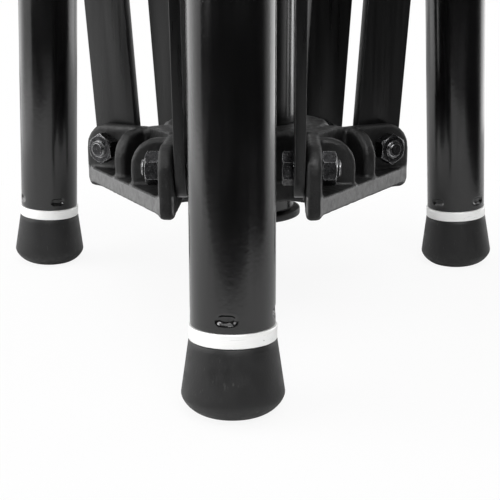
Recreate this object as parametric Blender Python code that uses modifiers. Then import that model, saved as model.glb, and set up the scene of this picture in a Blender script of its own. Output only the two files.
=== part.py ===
"""Folding tripod stand, in metres, +Z up, standing folded on its three feet.

A column carries a cast hub near its foot and a sliding collar near its top. Each tube leg hangs from
the collar and is held by a pair of flat bars that swing on the hub's lugs. The bars are as long as the
stretch of leg above them, so the three pivots of a leg form an isosceles triangle at every opening.
A mast slides in the column and is held by a clamp. The origin is on the floor, at the middle of the box
round the stand, so the column axis lies a quarter of the feet's radius behind it.
"""
import math

import bmesh
import bpy

NAME = "folding_tripod_stand"
LEGS = {"front": -90.0, "right": 30.0, "left": 150.0}

# The gap between pieces that touch, and round a shaft in its hole.
FIT = 0.0003

# Folding linkage: the hub pivots' height above the floor, their distance from the column axis, the bars'
# length between pivots, and the angle of bars and legs to the upright.
HUB_PIVOT_HEIGHT = 0.0980
PIVOT_RADIUS = 0.0750
BRACE_LENGTH = 0.6635
FOLD_ANGLE = math.radians(4.0)

# Tubes: diameters and walls, and the gap round the mast inside the column.
LEG_DIAMETER = 0.0400
LEG_WALL = 0.0020
COLUMN_DIAMETER = 0.0600
COLUMN_WALL = 0.0025
MAST_GAP = 0.0025
MAST_WALL = 0.0025

# Flat bars: the clear width between a pair, then their section.
BAR_SPACING = 0.0584
BAR_WIDTH = 0.0320
BAR_THICKNESS = 0.0060

# Fasteners.
BOLT_DIAMETER = 0.0100
HEX_FLATS = 0.0165
HEAD_HEIGHT = 0.0064
NUT_HEIGHT = 0.0080
BOLT_TAIL = 0.0025

# Cast hub, measured from its pivot axes and its lugs.
HUB_DROP = 0.0262
HUB_RISE = 0.0144
LUG_REACH = 0.0187
LUG_THICKNESS = 0.0086
LUG_CORNER = 0.0160
LUG_TOE = 0.0050
LUG_EDGE = 0.0026
PLATE_THICKNESS = 0.0101
PLATE_LIFT = 0.0026
PLATE_SETBACK = 0.0035
PLATE_TUCK = 0.0012
RIB_STEP = 0.0010
BOSS_WALL = 0.0220
BOSS_RISE = 0.0022
BOSS_EDGE = 0.0030
GUSSET_INSET = 0.0250
GUSSET_THICKNESS = 0.0085
GUSSET_REACH = 0.0205
GUSSET_CORNER = 0.0165
GUSSET_EDGE = 0.0018
WEB_ROOT = 0.0160
WEB_DEPTH = 0.0080
WEB_WIDTH = 0.0320

# Column foot.
COLUMN_STUB = 0.0110
CAP_FLANGE = 0.0045
CAP_LIP = 0.0040
CAP_PLUG = 0.0180

# Feet, measured up the leg's axis from the floor.
RING_TOP = 0.0424
RING_HEIGHT = 0.0067
RING_LIP = 0.0015
INSERT_PLUG = 0.0300
STEM_DIAMETER = 0.0280
STEM_END = 0.0145
FOOT_DIAMETER = 0.0494
FOOT_BULGE = 0.0108
SOLE_DIAMETER = 0.0340
SOLE_FLAT = 0.0006

# Crimp dimples that hold the foot's insert: size, height above the tube's end, and turn on each leg.
DIMPLE_WIDTH = 0.0064
DIMPLE_HEIGHT = 0.0040
DIMPLE_DEPTH = 0.0011
DIMPLE_ABOVE = 0.0062
DIMPLE_COUNT = 4
DIMPLE_TURN = {"front": -13.5, "right": 12.0, "left": 61.0}

# Leg top and brace sleeve.
TONGUE_LENGTH = 0.0320
TONGUE_THICKNESS = 0.0180
TONGUE_WIDTH = 0.0280
SHOULDER = 0.0040
TOP_PLUG = 0.0300
SLEEVE_LENGTH = 0.0500
SLEEVE_WALL = 0.0042
SLEEVE_BOSS = 0.0240

# Sliding collar, measured from its pivot axes.
COLLAR_DROP = 0.0180
COLLAR_RISE = 0.0420
COLLAR_WALL = 0.0100
LINER_WALL = 0.0030
COLLAR_LUG = 0.0080
COLLAR_KNOB = 0.0260

# Mast clamp and mast.
CLAMP_HEADROOM = 0.0100
CLAMP_HEIGHT = 0.0560
CLAMP_WALL = 0.0090
BUSH_DEPTH = 0.0450
BUSH_FLANGE = 0.0040
MAST_FOOT = 0.0400
MAST_GUIDE = 0.0400
MAST_SHOWN = 0.0300
SPIGOT_DIAMETER = 0.0350
SPIGOT_LENGTH = 0.0750
SPIGOT_FLANGE = 0.0080
SPIGOT_CHAMFER = 0.0020
SPIGOT_PLUG = 0.0400

# Star knobs on their screwed bosses.
KNOB_BOSS = 0.0260
KNOB_BOSS_LENGTH = 0.0150
KNOB_GAP = 0.0060
KNOB_DIAMETER = 0.0480
KNOB_THICKNESS = 0.0200
KNOB_LOBE = 0.0030
KNOB_LOBES = 5
STUD_SEAT = 0.0130

# Facets round turned pieces.
FINE = 30
COARSE = 24
SMALL = 10

# Radii and places that follow from the sizes above.
LEG_R = LEG_DIAMETER / 2
LEG_BORE = LEG_R - LEG_WALL
COLUMN_R = COLUMN_DIAMETER / 2
COLUMN_BORE = COLUMN_R - COLUMN_WALL
MAST_R = COLUMN_BORE - MAST_GAP
MAST_BORE = MAST_R - MAST_WALL
BOLT_R = BOLT_DIAMETER / 2
HOLE_R = BOLT_R + FIT
BAR_IN = BAR_SPACING / 2
BAR_OUT = BAR_IN + BAR_THICKNESS
LUG_IN = BAR_OUT + FIT
LUG_OUT = LUG_IN + LUG_THICKNESS
LUG_END = PIVOT_RADIUS + LUG_REACH
PLATE_LEVEL = PLATE_LIFT + PLATE_THICKNESS / 2 - HUB_DROP
BOSS_R = COLUMN_R + BOSS_WALL
COLUMN_BOTTOM = HUB_PIVOT_HEIGHT - HUB_DROP - COLUMN_STUB
COLLAR_Z = HUB_PIVOT_HEIGHT + 2 * BRACE_LENGTH * math.cos(FOLD_ANGLE)
KNEE_RADIUS = PIVOT_RADIUS + BRACE_LENGTH * math.sin(FOLD_ANGLE)
KNEE_Z = HUB_PIVOT_HEIGHT + BRACE_LENGTH * math.cos(FOLD_ANGLE)
LEG_BELOW = KNEE_Z / math.cos(FOLD_ANGLE)
FEET_RADIUS = KNEE_RADIUS + LEG_BELOW * math.sin(FOLD_ANGLE)
RING_R = LEG_R + RING_LIP
RING_BOTTOM = RING_TOP - RING_HEIGHT
SOLE_R = SOLE_DIAMETER / 2
COLLAR_BORE = COLUMN_R + LINER_WALL + 2 * FIT
COLLAR_R = COLLAR_BORE + COLLAR_WALL
COLLAR_LUG_IN = TONGUE_THICKNESS / 2 + FIT
COLLAR_LUG_OUT = COLLAR_LUG_IN + COLLAR_LUG
CLAMP_BOTTOM = COLLAR_Z + COLLAR_RISE + CLAMP_HEADROOM
CLAMP_R = COLUMN_R + FIT + CLAMP_WALL
CLAMP_KNOB_Z = CLAMP_BOTTOM + CLAMP_HEIGHT / 2
COLUMN_TOP = CLAMP_BOTTOM + CLAMP_HEIGHT
MAST_BOTTOM = HUB_PIVOT_HEIGHT + MAST_FOOT
MAST_TOP = COLUMN_TOP + BUSH_FLANGE + MAST_SHOWN
AWAY = -math.pi / 2
TOWARD = math.pi / 2


def clear_scene():
    """Remove every object that the scene starts with."""
    for obj in list(bpy.data.objects):
        bpy.data.objects.remove(obj, do_unlink=True)


def make_collection(name):
    """Return a new collection linked under the scene."""
    group = bpy.data.collections.new(name)
    bpy.context.scene.collection.children.link(group)
    return group


def make_material(name, colour, roughness, metallic):
    """Return a Principled material."""
    material = bpy.data.materials.new(name)
    material.use_nodes = True
    shader = material.node_tree.nodes["Principled BSDF"]
    shader.inputs["Base Color"].default_value = (*colour, 1.0)
    shader.inputs["Roughness"].default_value = roughness
    shader.inputs["Metallic"].default_value = metallic
    return material


def arc(centre, radius, start, end, steps):
    """Return points on a circle's arc from start to end degrees, both included."""
    points = []
    for step in range(steps + 1):
        angle = math.radians(start + (end - start) * step / steps)
        points.append((centre[0] + radius * math.cos(angle), centre[1] + radius * math.sin(angle)))
    return points


def circle(radius, steps, centre=(0.0, 0.0)):
    """Return a closed circle's points."""
    return arc(centre, radius, 0.0, 360.0, steps)[:-1]


def hexagon(flats):
    """Return a hexagon's points from its width across flats."""
    return circle(flats / 2 / math.cos(math.pi / 6), 6)


def add_object(name, data, group):
    """Add an object to a collection."""
    obj = bpy.data.objects.new(name, data)
    group.objects.link(obj)
    return obj


def evaluated_mesh(obj):
    """Return the object's evaluated shape as a welded mesh, and remove the object."""
    graph = bpy.context.evaluated_depsgraph_get()
    mesh = bpy.data.meshes.new_from_object(obj.evaluated_get(graph))
    shell = bmesh.new()
    shell.from_mesh(mesh)
    bmesh.ops.remove_doubles(shell, verts=shell.verts, dist=0.000005)
    bmesh.ops.dissolve_limit(shell, angle_limit=0.001, verts=shell.verts, edges=shell.edges)
    shell.to_mesh(mesh)
    shell.free()
    bpy.data.objects.remove(obj, do_unlink=True)
    return mesh


def turned(profile, steps, closed=False):
    """Turn a profile of (radius, height) about Z: a closed loop, or a line from axis to axis."""
    mesh = bpy.data.meshes.new("profile")
    edges = [(i, i + 1) for i in range(len(profile) - 1)]
    if closed:
        edges.append((len(profile) - 1, 0))
    mesh.from_pydata([(radius, 0.0, height) for radius, height in profile], edges, [])
    obj = add_object("profile", mesh, bpy.context.scene.collection)
    screw = obj.modifiers.new("turn", "SCREW")
    screw.steps = steps
    screw.render_steps = steps
    screw.use_merge_vertices = True
    screw.merge_threshold = 0.00001
    return evaluated_mesh(obj)


def ring(inner, outer, low, high, steps):
    """Return a plain tube about Z between two radii and two heights."""
    return turned([(inner, low), (inner, high), (outer, high), (outer, low)], steps, True)


def rod(radius, low, high, steps):
    """Return a solid cylinder about Z between two heights."""
    return turned([(0.0, high), (radius, high), (radius, low), (0.0, low)], steps)


def sheet(loops, thickness):
    """Return an outline with its holes, extruded evenly to either side of its plane."""
    curve = bpy.data.curves.new("outline", "CURVE")
    curve.dimensions = "2D"
    curve.fill_mode = "BOTH"
    curve.extrude = thickness / 2
    for loop in loops:
        spline = curve.splines.new("POLY")
        spline.points.add(len(loop) - 1)
        for point, (across, along) in zip(spline.points, loop):
            point.co = (across, along, 0.0, 1.0)
        spline.use_cyclic_u = True
    return evaluated_mesh(add_object("outline", curve, bpy.context.scene.collection))


def heading(degrees):
    """Return the rotation that turns a frame about the upright."""
    return (0.0, 0.0, math.radians(degrees))


def place(obj, parent, location, rotation):
    """Set an object's parent, location and rotation, and return it."""
    obj.parent = parent
    obj.location = location
    obj.rotation_euler = rotation
    return obj


def add_empty(name, parent, location, rotation=(0.0, 0.0, 0.0)):
    """Add an empty that marks an axis."""
    return place(add_object(name, None, PARTS), parent, location, rotation)


def add_part(name, mesh, material, parent, location=(0.0, 0.0, 0.0), rotation=(0.0, 0.0, 0.0)):
    """Add one piece of the stand."""
    if not mesh.materials:
        mesh.materials.append(material)
    return place(add_object(name, mesh, PARTS), parent, location, rotation)


def add_tool(mesh, parent, location=(0.0, 0.0, 0.0), rotation=(0.0, 0.0, 0.0)):
    """Add a shape that is only joined to a piece or cut from one."""
    tool = place(add_object("tool", mesh, CUTTERS), parent, location, rotation)
    tool.hide_render = True
    tool.display_type = "WIRE"
    return tool


def combine(obj, tool, operation):
    """Join a tool to a piece, or cut it away."""
    change = obj.modifiers.new(operation.lower(), "BOOLEAN")
    change.operation = operation
    change.object = tool


def soften(obj, width, segments):
    """Round an object's right-angled edges."""
    edge = obj.modifiers.new("edge", "BEVEL")
    edge.width = width
    edge.segments = segments
    edge.limit_method = "ANGLE"
    edge.angle_limit = math.radians(50.0)


def bore(obj, parent, location, rotation, radius, length):
    """Cut a round hole centred on a place, along the tool's own Z."""
    tool = add_tool(rod(radius, -length / 2, length / 2, SMALL), parent, location, rotation)
    combine(obj, tool, "DIFFERENCE")


def settle():
    """Apply every piece's modifiers, and shade its round faces smooth between sharp edges."""
    graph = bpy.context.evaluated_depsgraph_get()
    shapes = {}
    for obj in PARTS.objects:
        if obj.type == "MESH" and obj.modifiers:
            shapes[obj] = bpy.data.meshes.new_from_object(obj.evaluated_get(graph))
    for obj, mesh in shapes.items():
        obj.modifiers.clear()
        obj.data = mesh
    for obj in PARTS.objects:
        if obj.type == "MESH":
            obj.data.shade_smooth()
            obj.data.set_sharp_from_angle(angle=math.radians(32.0))


def bolt_mesh(grip):
    """Return a hex bolt along Z, with its origin mid-head and its shank reaching past the head by grip."""
    bolt = add_object("bolt", sheet([hexagon(HEX_FLATS)], HEAD_HEIGHT), CUTTERS)
    end = HEAD_HEIGHT / 2 + grip
    chamfer = BOLT_DIAMETER / 10
    profile = [(0.0, end), (BOLT_R - chamfer, end), (BOLT_R, end - chamfer), (BOLT_R, 0.0), (0.0, 0.0)]
    combine(bolt, add_tool(turned(profile, SMALL), None), "UNION")
    return evaluated_mesh(bolt)


def nut_mesh():
    """Return a hex nut centred on its own axis."""
    return sheet([hexagon(HEX_FLATS), circle(HOLE_R, SMALL)], NUT_HEIGHT)


def build_column():
    """Column tube and its end cap."""
    wall = ring(COLUMN_BORE, COLUMN_R, COLUMN_BOTTOM, COLUMN_TOP, FINE)
    tube = add_part("column_tube", wall, PAINT, ROOT)
    bore(tube, ROOT, (0.0, COLUMN_R, CLAMP_KNOB_Z), (AWAY, 0.0, 0.0), HOLE_R, COLUMN_R)
    plug = COLUMN_BORE - FIT
    flange = COLUMN_R + CAP_LIP
    seat = COLUMN_BOTTOM - FIT
    cap = [(0.0, seat + CAP_PLUG), (plug, seat + CAP_PLUG), (plug, seat), (flange, seat)]
    cap += [(flange, seat - CAP_FLANGE), (0.0, seat - CAP_FLANGE)]
    add_part("column_end_cap", turned(cap, FINE), PLASTIC, ROOT)


def lug_mesh():
    """Return one hub lug in its radius and height plane: a round upper corner and a small round toe."""
    root = LUG_OUT * math.tan(math.pi / 6) - LUG_THICKNESS / 2
    corner = (LUG_END - LUG_CORNER, HUB_RISE - LUG_CORNER)
    toe = (LUG_END - LUG_TOE, LUG_TOE - HUB_DROP)
    outline = [(root, -HUB_DROP)] + arc(toe, LUG_TOE, -90.0, 0.0, 3)
    outline += arc(corner, LUG_CORNER, 0.0, 90.0, 7) + [(root, HUB_RISE)]
    return sheet([outline], LUG_THICKNESS)


def gusset_mesh():
    """Return one gusset in its sideways and height plane, with a quarter-round outer corner."""
    high = HUB_RISE - RIB_STEP
    tip = LUG_OUT + GUSSET_REACH
    root = LUG_OUT - LUG_THICKNESS / 2
    corner = (tip - GUSSET_CORNER, high - GUSSET_CORNER)
    outline = [(root, PLATE_LEVEL), (tip, PLATE_LEVEL)]
    outline += arc(corner, GUSSET_CORNER, 0.0, 90.0, 6) + [(root, high)]
    return sheet([outline], GUSSET_THICKNESS)


def plate_mesh():
    """Return the hub's side plates as one outline, open between each pair of lugs."""
    mid_lug = (LUG_IN + LUG_OUT) / 2
    tip = LUG_END - PLATE_SETBACK + PLATE_TUCK * math.tan(math.pi / 3)
    outline = []
    for turn in LEGS.values():
        corners = [(tip, PLATE_TUCK - LUG_OUT), (tip, -mid_lug), (BOSS_R - BOSS_EDGE, -mid_lug)]
        corners += [(radius, -side) for radius, side in reversed(corners)]
        cos = math.cos(math.radians(turn))
        sin = math.sin(math.radians(turn))
        outline += [(r * cos - side * sin, r * sin + side * cos) for r, side in corners]
    return sheet([outline], PLATE_THICKNESS)


def web_mesh():
    """Return the block that fills the valley between two lugs, standing proud of both."""
    half = WEB_WIDTH / 2
    outline = [(-WEB_ROOT, -half), (WEB_DEPTH, -half), (WEB_DEPTH, half), (-WEB_ROOT, half)]
    return sheet([outline], HUB_DROP + HUB_RISE + 2 * RIB_STEP)


def build_hub():
    """Cast hub about its pivots: a boss, three pairs of lugs, gussets, webs and side plates."""
    top = HUB_RISE + BOSS_RISE
    foot = PLATE_LIFT / 2 - HUB_DROP
    profile = [(0.0, top), (BOSS_R - BOSS_EDGE, top), (BOSS_R, top - BOSS_EDGE), (BOSS_R, foot), (0.0, foot)]
    hub = add_object("hub", turned(profile, FINE), CUTTERS)
    combine(hub, add_tool(plate_mesh(), None, (0.0, 0.0, PLATE_LEVEL)), "UNION")
    lug_side = (LUG_IN + LUG_OUT) / 2
    gusset_radius = PIVOT_RADIUS - GUSSET_INSET
    valley = LUG_OUT / math.cos(math.pi / 6)
    for azimuth in LEGS.values():
        frame = place(add_object("hub_frame", None, CUTTERS), None, (0.0, 0.0, 0.0), heading(azimuth))
        outward = (valley / 2, valley * math.cos(math.pi / 6), (HUB_RISE - HUB_DROP) / 2)
        combine(hub, add_tool(web_mesh(), frame, outward, heading(60.0)), "UNION")
        for side in (-1.0, 1.0):
            lug = add_tool(lug_mesh(), frame, (0.0, side * lug_side, 0.0), (TOWARD, 0.0, 0.0))
            soften(lug, LUG_EDGE, 2)
            combine(hub, lug, "UNION")
            turn = (TOWARD, 0.0, side * TOWARD)
            gusset = add_tool(gusset_mesh(), frame, (gusset_radius, 0.0, 0.0), turn)
            soften(gusset, GUSSET_EDGE, 1)
            combine(hub, gusset, "UNION")
        bore(hub, frame, (PIVOT_RADIUS, 0.0, 0.0), (AWAY, 0.0, 0.0), HOLE_R, LUG_OUT * 3)
    shaft = rod(COLUMN_R + FIT, -2 * HUB_DROP, 2 * (HUB_RISE + BOSS_RISE), FINE)
    combine(hub, add_tool(shaft, None), "DIFFERENCE")
    add_part("brace_hub", evaluated_mesh(hub), CASTING, ROOT, (0.0, 0.0, HUB_PIVOT_HEIGHT))


def build_braces():
    """Two flat bars on each hub pivot, with the bolts that carry them in the lugs."""
    half = BAR_WIDTH / 2
    outline = arc((0.0, 0.0), half, 180.0, 360.0, 8) + arc((0.0, BRACE_LENGTH), half, 0.0, 180.0, 8)
    holes = [circle(HOLE_R, SMALL), circle(HOLE_R, SMALL, (0.0, BRACE_LENGTH))]
    bar = sheet([outline] + holes, BAR_THICKNESS)
    bolt = bolt_mesh(LUG_OUT + NUT_HEIGHT + BOLT_TAIL + 2 * FIT - BAR_IN)
    nut = nut_mesh()
    for leg, frame in FRAMES.items():
        pivot = (PIVOT_RADIUS, 0.0, HUB_PIVOT_HEIGHT)
        axis = add_empty(f"brace_axis_{leg}", frame, pivot, (0.0, FOLD_ANGLE, 0.0))
        for mark, side, turn in (("a", -1.0, TOWARD), ("b", 1.0, AWAY)):
            middle = side * (BAR_IN + BAR_OUT) / 2
            add_part(f"brace_bar_{leg}_{mark}", bar, STEEL, axis, (0.0, middle, 0.0), (TOWARD, 0.0, 0.0))
            head = side * (BAR_IN - FIT - HEAD_HEIGHT / 2)
            spot = (PIVOT_RADIUS, head, HUB_PIVOT_HEIGHT)
            add_part(f"hub_bolt_{leg}_{mark}", bolt, ZINC, frame, spot, (turn, 0.0, 0.0))
            spot = (PIVOT_RADIUS, side * (LUG_OUT + FIT + NUT_HEIGHT / 2), HUB_PIVOT_HEIGHT)
            add_part(f"hub_nut_{leg}_{mark}", nut, ZINC, frame, spot, (turn, 0.0, 0.0))


def insert_mesh():
    """Return the foot's insert along the leg: a plug in the tube, the bright ring and the stem below."""
    plug = LEG_BORE - FIT
    stem = STEM_DIAMETER / 2
    profile = [(0.0, RING_TOP + INSERT_PLUG), (plug, RING_TOP + INSERT_PLUG), (plug, RING_TOP)]
    profile += [(RING_R, RING_TOP), (RING_R, RING_BOTTOM), (stem, RING_BOTTOM), (stem, STEM_END)]
    profile += [(0.0, STEM_END)]
    return turned(profile, COARSE)


def foot_mesh():
    """Return the rubber foot along the leg: a flared bell with a round shoulder down to its sole."""
    socket = STEM_DIAMETER / 2 + FIT
    floor = STEM_END - FIT
    top = RING_BOTTOM - FIT
    sole = SOLE_R * math.tan(FOLD_ANGLE) - SOLE_FLAT
    bulge = FOOT_DIAMETER / 2
    profile = [(0.0, floor), (socket, floor), (socket, top), (RING_R, top), (bulge, FOOT_BULGE)]
    for step in range(1, 6):
        angle = math.radians(90.0 * step / 6)
        radius = SOLE_R + (bulge - SOLE_R) * math.cos(angle)
        profile.append((radius, FOOT_BULGE - (FOOT_BULGE - sole) * math.sin(angle)))
    profile += [(SOLE_R, sole), (0.0, sole)]
    return turned(profile, COARSE)


def dimple_mesh():
    """Return one flattened ball that presses a crimp dimple, lying across the leg."""
    ball = bmesh.new()
    bmesh.ops.create_uvsphere(ball, u_segments=8, v_segments=6, radius=1.0)
    scale = (DIMPLE_DEPTH, DIMPLE_WIDTH / 2, DIMPLE_HEIGHT / 2)
    bmesh.ops.scale(ball, vec=scale, verts=ball.verts)
    mesh = bpy.data.meshes.new("dimple")
    ball.to_mesh(mesh)
    ball.free()
    return mesh


def tongue_part(name, axis):
    """Leg top: a plug in the tube, a shoulder on its end and a flat tongue with the pivot hole."""
    low = BRACE_LENGTH - TONGUE_LENGTH
    plug = LEG_BORE - FIT
    profile = [(0.0, low + SHOULDER), (LEG_R, low + SHOULDER), (LEG_R, low), (plug, low)]
    profile += [(plug, low - TOP_PLUG), (0.0, low - TOP_PLUG)]
    top = add_part(name, turned(profile, COARSE), CASTING, axis)
    half = TONGUE_WIDTH / 2
    outline = arc((0.0, BRACE_LENGTH), half, 0.0, 180.0, 10) + [(-half, low + SHOULDER / 2)]
    outline += [(half, low + SHOULDER / 2)]
    hole = circle(HOLE_R, SMALL, (0.0, BRACE_LENGTH))
    tongue = add_tool(sheet([outline, hole], TONGUE_THICKNESS), axis, rotation=(TOWARD, 0.0, 0.0))
    combine(top, tongue, "UNION")


def sleeve_part(name, axis):
    """Brace sleeve: a tube round the leg with a boss to either side for the pivot bolt."""
    outer = LEG_R + FIT + SLEEVE_WALL
    half = SLEEVE_LENGTH / 2
    sleeve = add_part(name, ring(LEG_R + FIT, outer, -half, half, COARSE), CASTING, axis)
    reach = BAR_IN - FIT
    boss = add_tool(rod(SLEEVE_BOSS / 2, -reach, reach, 14), axis, rotation=(AWAY, 0.0, 0.0))
    combine(sleeve, boss, "UNION")
    combine(sleeve, add_tool(rod(LEG_R + FIT, -half, half, COARSE), axis), "DIFFERENCE")
    bore(sleeve, axis, (0.0, 0.0, 0.0), (AWAY, 0.0, 0.0), HOLE_R, BAR_SPACING * 2)


def build_legs():
    """Three legs, each a tube on its knee axis with a top tongue, brace sleeve, insert, foot and bolt."""
    span = 2 * (BAR_OUT + FIT)
    bolt = bolt_mesh(span + NUT_HEIGHT + BOLT_TAIL)
    nut = nut_mesh()
    insert = insert_mesh()
    low = RING_TOP + FIT - LEG_BELOW
    for leg, frame in FRAMES.items():
        axis = add_empty(f"knee_axis_{leg}", frame, (KNEE_RADIUS, 0.0, KNEE_Z), (0.0, -FOLD_ANGLE, 0.0))
        high = BRACE_LENGTH - TONGUE_LENGTH - FIT
        tube = add_part(f"leg_tube_{leg}", ring(LEG_BORE, LEG_R, low, high, COARSE), PAINT, axis)
        bore(tube, axis, (0.0, 0.0, 0.0), (AWAY, 0.0, 0.0), HOLE_R, LEG_DIAMETER * 1.5)
        for step in range(DIMPLE_COUNT):
            turn = math.radians(DIMPLE_TURN[leg]) + 2 * math.pi * step / DIMPLE_COUNT
            spot = (LEG_R * math.cos(turn), LEG_R * math.sin(turn), low + DIMPLE_ABOVE)
            combine(tube, add_tool(dimple_mesh(), axis, spot, (0.0, 0.0, turn)), "DIFFERENCE")
        tongue_part(f"leg_top_{leg}", axis)
        sleeve_part(f"brace_sleeve_{leg}", axis)
        add_part(f"foot_insert_{leg}", insert, BRIGHT, axis, (0.0, 0.0, -LEG_BELOW))
        foot = add_part(f"rubber_foot_{leg}", foot_mesh(), RUBBER, axis, (0.0, 0.0, -LEG_BELOW))
        ground = add_tool(rod(FOOT_DIAMETER, -FOOT_BULGE, 0.0, SMALL), frame, (FEET_RADIUS, 0.0, 0.0))
        combine(foot, ground, "DIFFERENCE")
        head = (0.0, BAR_OUT + FIT + HEAD_HEIGHT / 2, 0.0)
        add_part(f"knee_bolt_{leg}", bolt, ZINC, axis, head, (TOWARD, 0.0, 0.0))
        end = (0.0, -(BAR_OUT + FIT + NUT_HEIGHT / 2), 0.0)
        add_part(f"knee_nut_{leg}", nut, ZINC, axis, end, (TOWARD, 0.0, 0.0))


def knob_boss(obj, root, face, height):
    """Join a screwed boss to a collar's rear side, and return the radius of its end."""
    outer = root + KNOB_BOSS_LENGTH
    inner = (face + root) / 2
    boss = add_tool(rod(KNOB_BOSS / 2, inner, outer, 20), ROOT, (0.0, 0.0, height), (AWAY, 0.0, 0.0))
    combine(obj, boss, "UNION")
    return outer


def build_knob(name, outer, tip, height):
    """Star knob on its stud, turning on an axis square to the column."""
    axis = add_empty(f"{name}_axis", ROOT, (0.0, outer, height), (AWAY, 0.0, 0.0))
    seat = KNOB_GAP + STUD_SEAT
    stud = rod(BOLT_R, tip - outer, seat - FIT, SMALL)
    add_part(f"{name}_stud", stud, ZINC, axis)
    outline = []
    for step in range(KNOB_LOBES * 6):
        angle = 2 * math.pi * step / (KNOB_LOBES * 6)
        radius = KNOB_DIAMETER / 2 - KNOB_LOBE + KNOB_LOBE * math.cos(KNOB_LOBES * angle)
        outline.append((radius * math.cos(angle), radius * math.sin(angle)))
    middle = (0.0, 0.0, KNOB_GAP + KNOB_THICKNESS / 2)
    grip = add_part(f"{name}_grip", sheet([outline], KNOB_THICKNESS), PLASTIC, axis, middle)
    soften(grip, KNOB_LOBE, 1)
    bore(grip, axis, (0.0, 0.0, KNOB_GAP), (0.0, 0.0, 0.0), HOLE_R, STUD_SEAT * 2)


def build_collar():
    """Sliding collar with its liner, three pairs of lugs, pivot bolts and a clamping knob."""
    low = COLLAR_Z - COLLAR_DROP
    high = COLLAR_Z + COLLAR_RISE
    collar = add_part("leg_collar", ring(COLLAR_BORE, COLLAR_R, low, high, FINE), CASTING, ROOT)
    half = TONGUE_WIDTH / 2
    start = COLLAR_R - COLLAR_WALL / 2
    outline = arc((PIVOT_RADIUS, 0.0), half, -90.0, 90.0, 10) + [(start, half), (start, -half)]
    lug = sheet([outline, circle(HOLE_R, SMALL, (PIVOT_RADIUS, 0.0))], COLLAR_LUG)
    bolt = bolt_mesh(2 * (COLLAR_LUG_OUT + FIT) + NUT_HEIGHT + BOLT_TAIL)
    nut = nut_mesh()
    for leg, frame in FRAMES.items():
        for side in (-1.0, 1.0):
            spot = (0.0, side * (COLLAR_LUG_IN + COLLAR_LUG_OUT) / 2, COLLAR_Z)
            combine(collar, add_tool(lug, frame, spot, (TOWARD, 0.0, 0.0)), "UNION")
        head = (PIVOT_RADIUS, COLLAR_LUG_OUT + FIT + HEAD_HEIGHT / 2, COLLAR_Z)
        add_part(f"collar_bolt_{leg}", bolt, ZINC, frame, head, (TOWARD, 0.0, 0.0))
        end = (PIVOT_RADIUS, -(COLLAR_LUG_OUT + FIT + NUT_HEIGHT / 2), COLLAR_Z)
        add_part(f"collar_nut_{leg}", nut, ZINC, frame, end, (TOWARD, 0.0, 0.0))
    height = COLLAR_Z + COLLAR_KNOB
    outer = knob_boss(collar, COLLAR_R, COLLAR_BORE, height)
    bore(collar, ROOT, (0.0, outer, height), (AWAY, 0.0, 0.0), HOLE_R, 2 * (outer - COLUMN_R / 2))
    liner = add_part("collar_liner", ring(COLUMN_R + FIT, COLLAR_BORE - FIT, low, high, FINE), NYLON, ROOT)
    bore(liner, ROOT, (0.0, COLLAR_BORE, height), (AWAY, 0.0, 0.0), HOLE_R, COLUMN_R)
    build_knob("collar_knob", outer, COLUMN_R + FIT, height)


def build_mast():
    """Mast clamp on the column's top, its bush and knob, and the mast with its guide and spigot."""
    low = CLAMP_BOTTOM
    clamp = add_part("mast_clamp", ring(COLUMN_R + FIT, CLAMP_R, low, COLUMN_TOP, FINE), CASTING, ROOT)
    outer = knob_boss(clamp, CLAMP_R, COLUMN_R + FIT, CLAMP_KNOB_Z)
    bore(clamp, ROOT, (0.0, outer, CLAMP_KNOB_Z), (AWAY, 0.0, 0.0), HOLE_R, 2 * (outer - COLUMN_R / 2))
    inner = MAST_R + FIT
    seat = COLUMN_TOP + FIT
    profile = [(inner, COLUMN_TOP - BUSH_DEPTH), (inner, seat + BUSH_FLANGE), (COLUMN_R, seat + BUSH_FLANGE)]
    profile += [(COLUMN_R, seat), (COLUMN_BORE - FIT, seat), (COLUMN_BORE - FIT, COLUMN_TOP - BUSH_DEPTH)]
    bush = add_part("mast_bush", turned(profile, COARSE, True), NYLON, ROOT)
    bore(bush, ROOT, (0.0, COLUMN_R, CLAMP_KNOB_Z), (AWAY, 0.0, 0.0), HOLE_R, COLUMN_R)
    build_knob("mast_knob", outer, MAST_R + FIT, CLAMP_KNOB_Z)
    add_part("mast_tube", ring(MAST_BORE, MAST_R, MAST_BOTTOM, MAST_TOP, COARSE), PAINT, ROOT)
    guide = ring(MAST_R + FIT, COLUMN_BORE - FIT, MAST_BOTTOM, MAST_BOTTOM + MAST_GUIDE, COARSE)
    add_part("mast_guide", guide, NYLON, ROOT)
    base = MAST_TOP + FIT
    top = base + SPIGOT_FLANGE + SPIGOT_LENGTH
    pin = SPIGOT_DIAMETER / 2
    plug = MAST_BORE - FIT
    step = base + SPIGOT_FLANGE
    profile = [(0.0, top), (pin - SPIGOT_CHAMFER, top), (pin, top - SPIGOT_CHAMFER), (pin, step)]
    profile += [(MAST_R, step), (MAST_R, base), (plug, base), (plug, base - SPIGOT_PLUG)]
    profile += [(0.0, base - SPIGOT_PLUG)]
    add_part("mast_spigot", turned(profile, COARSE), ZINC, ROOT)


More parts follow.
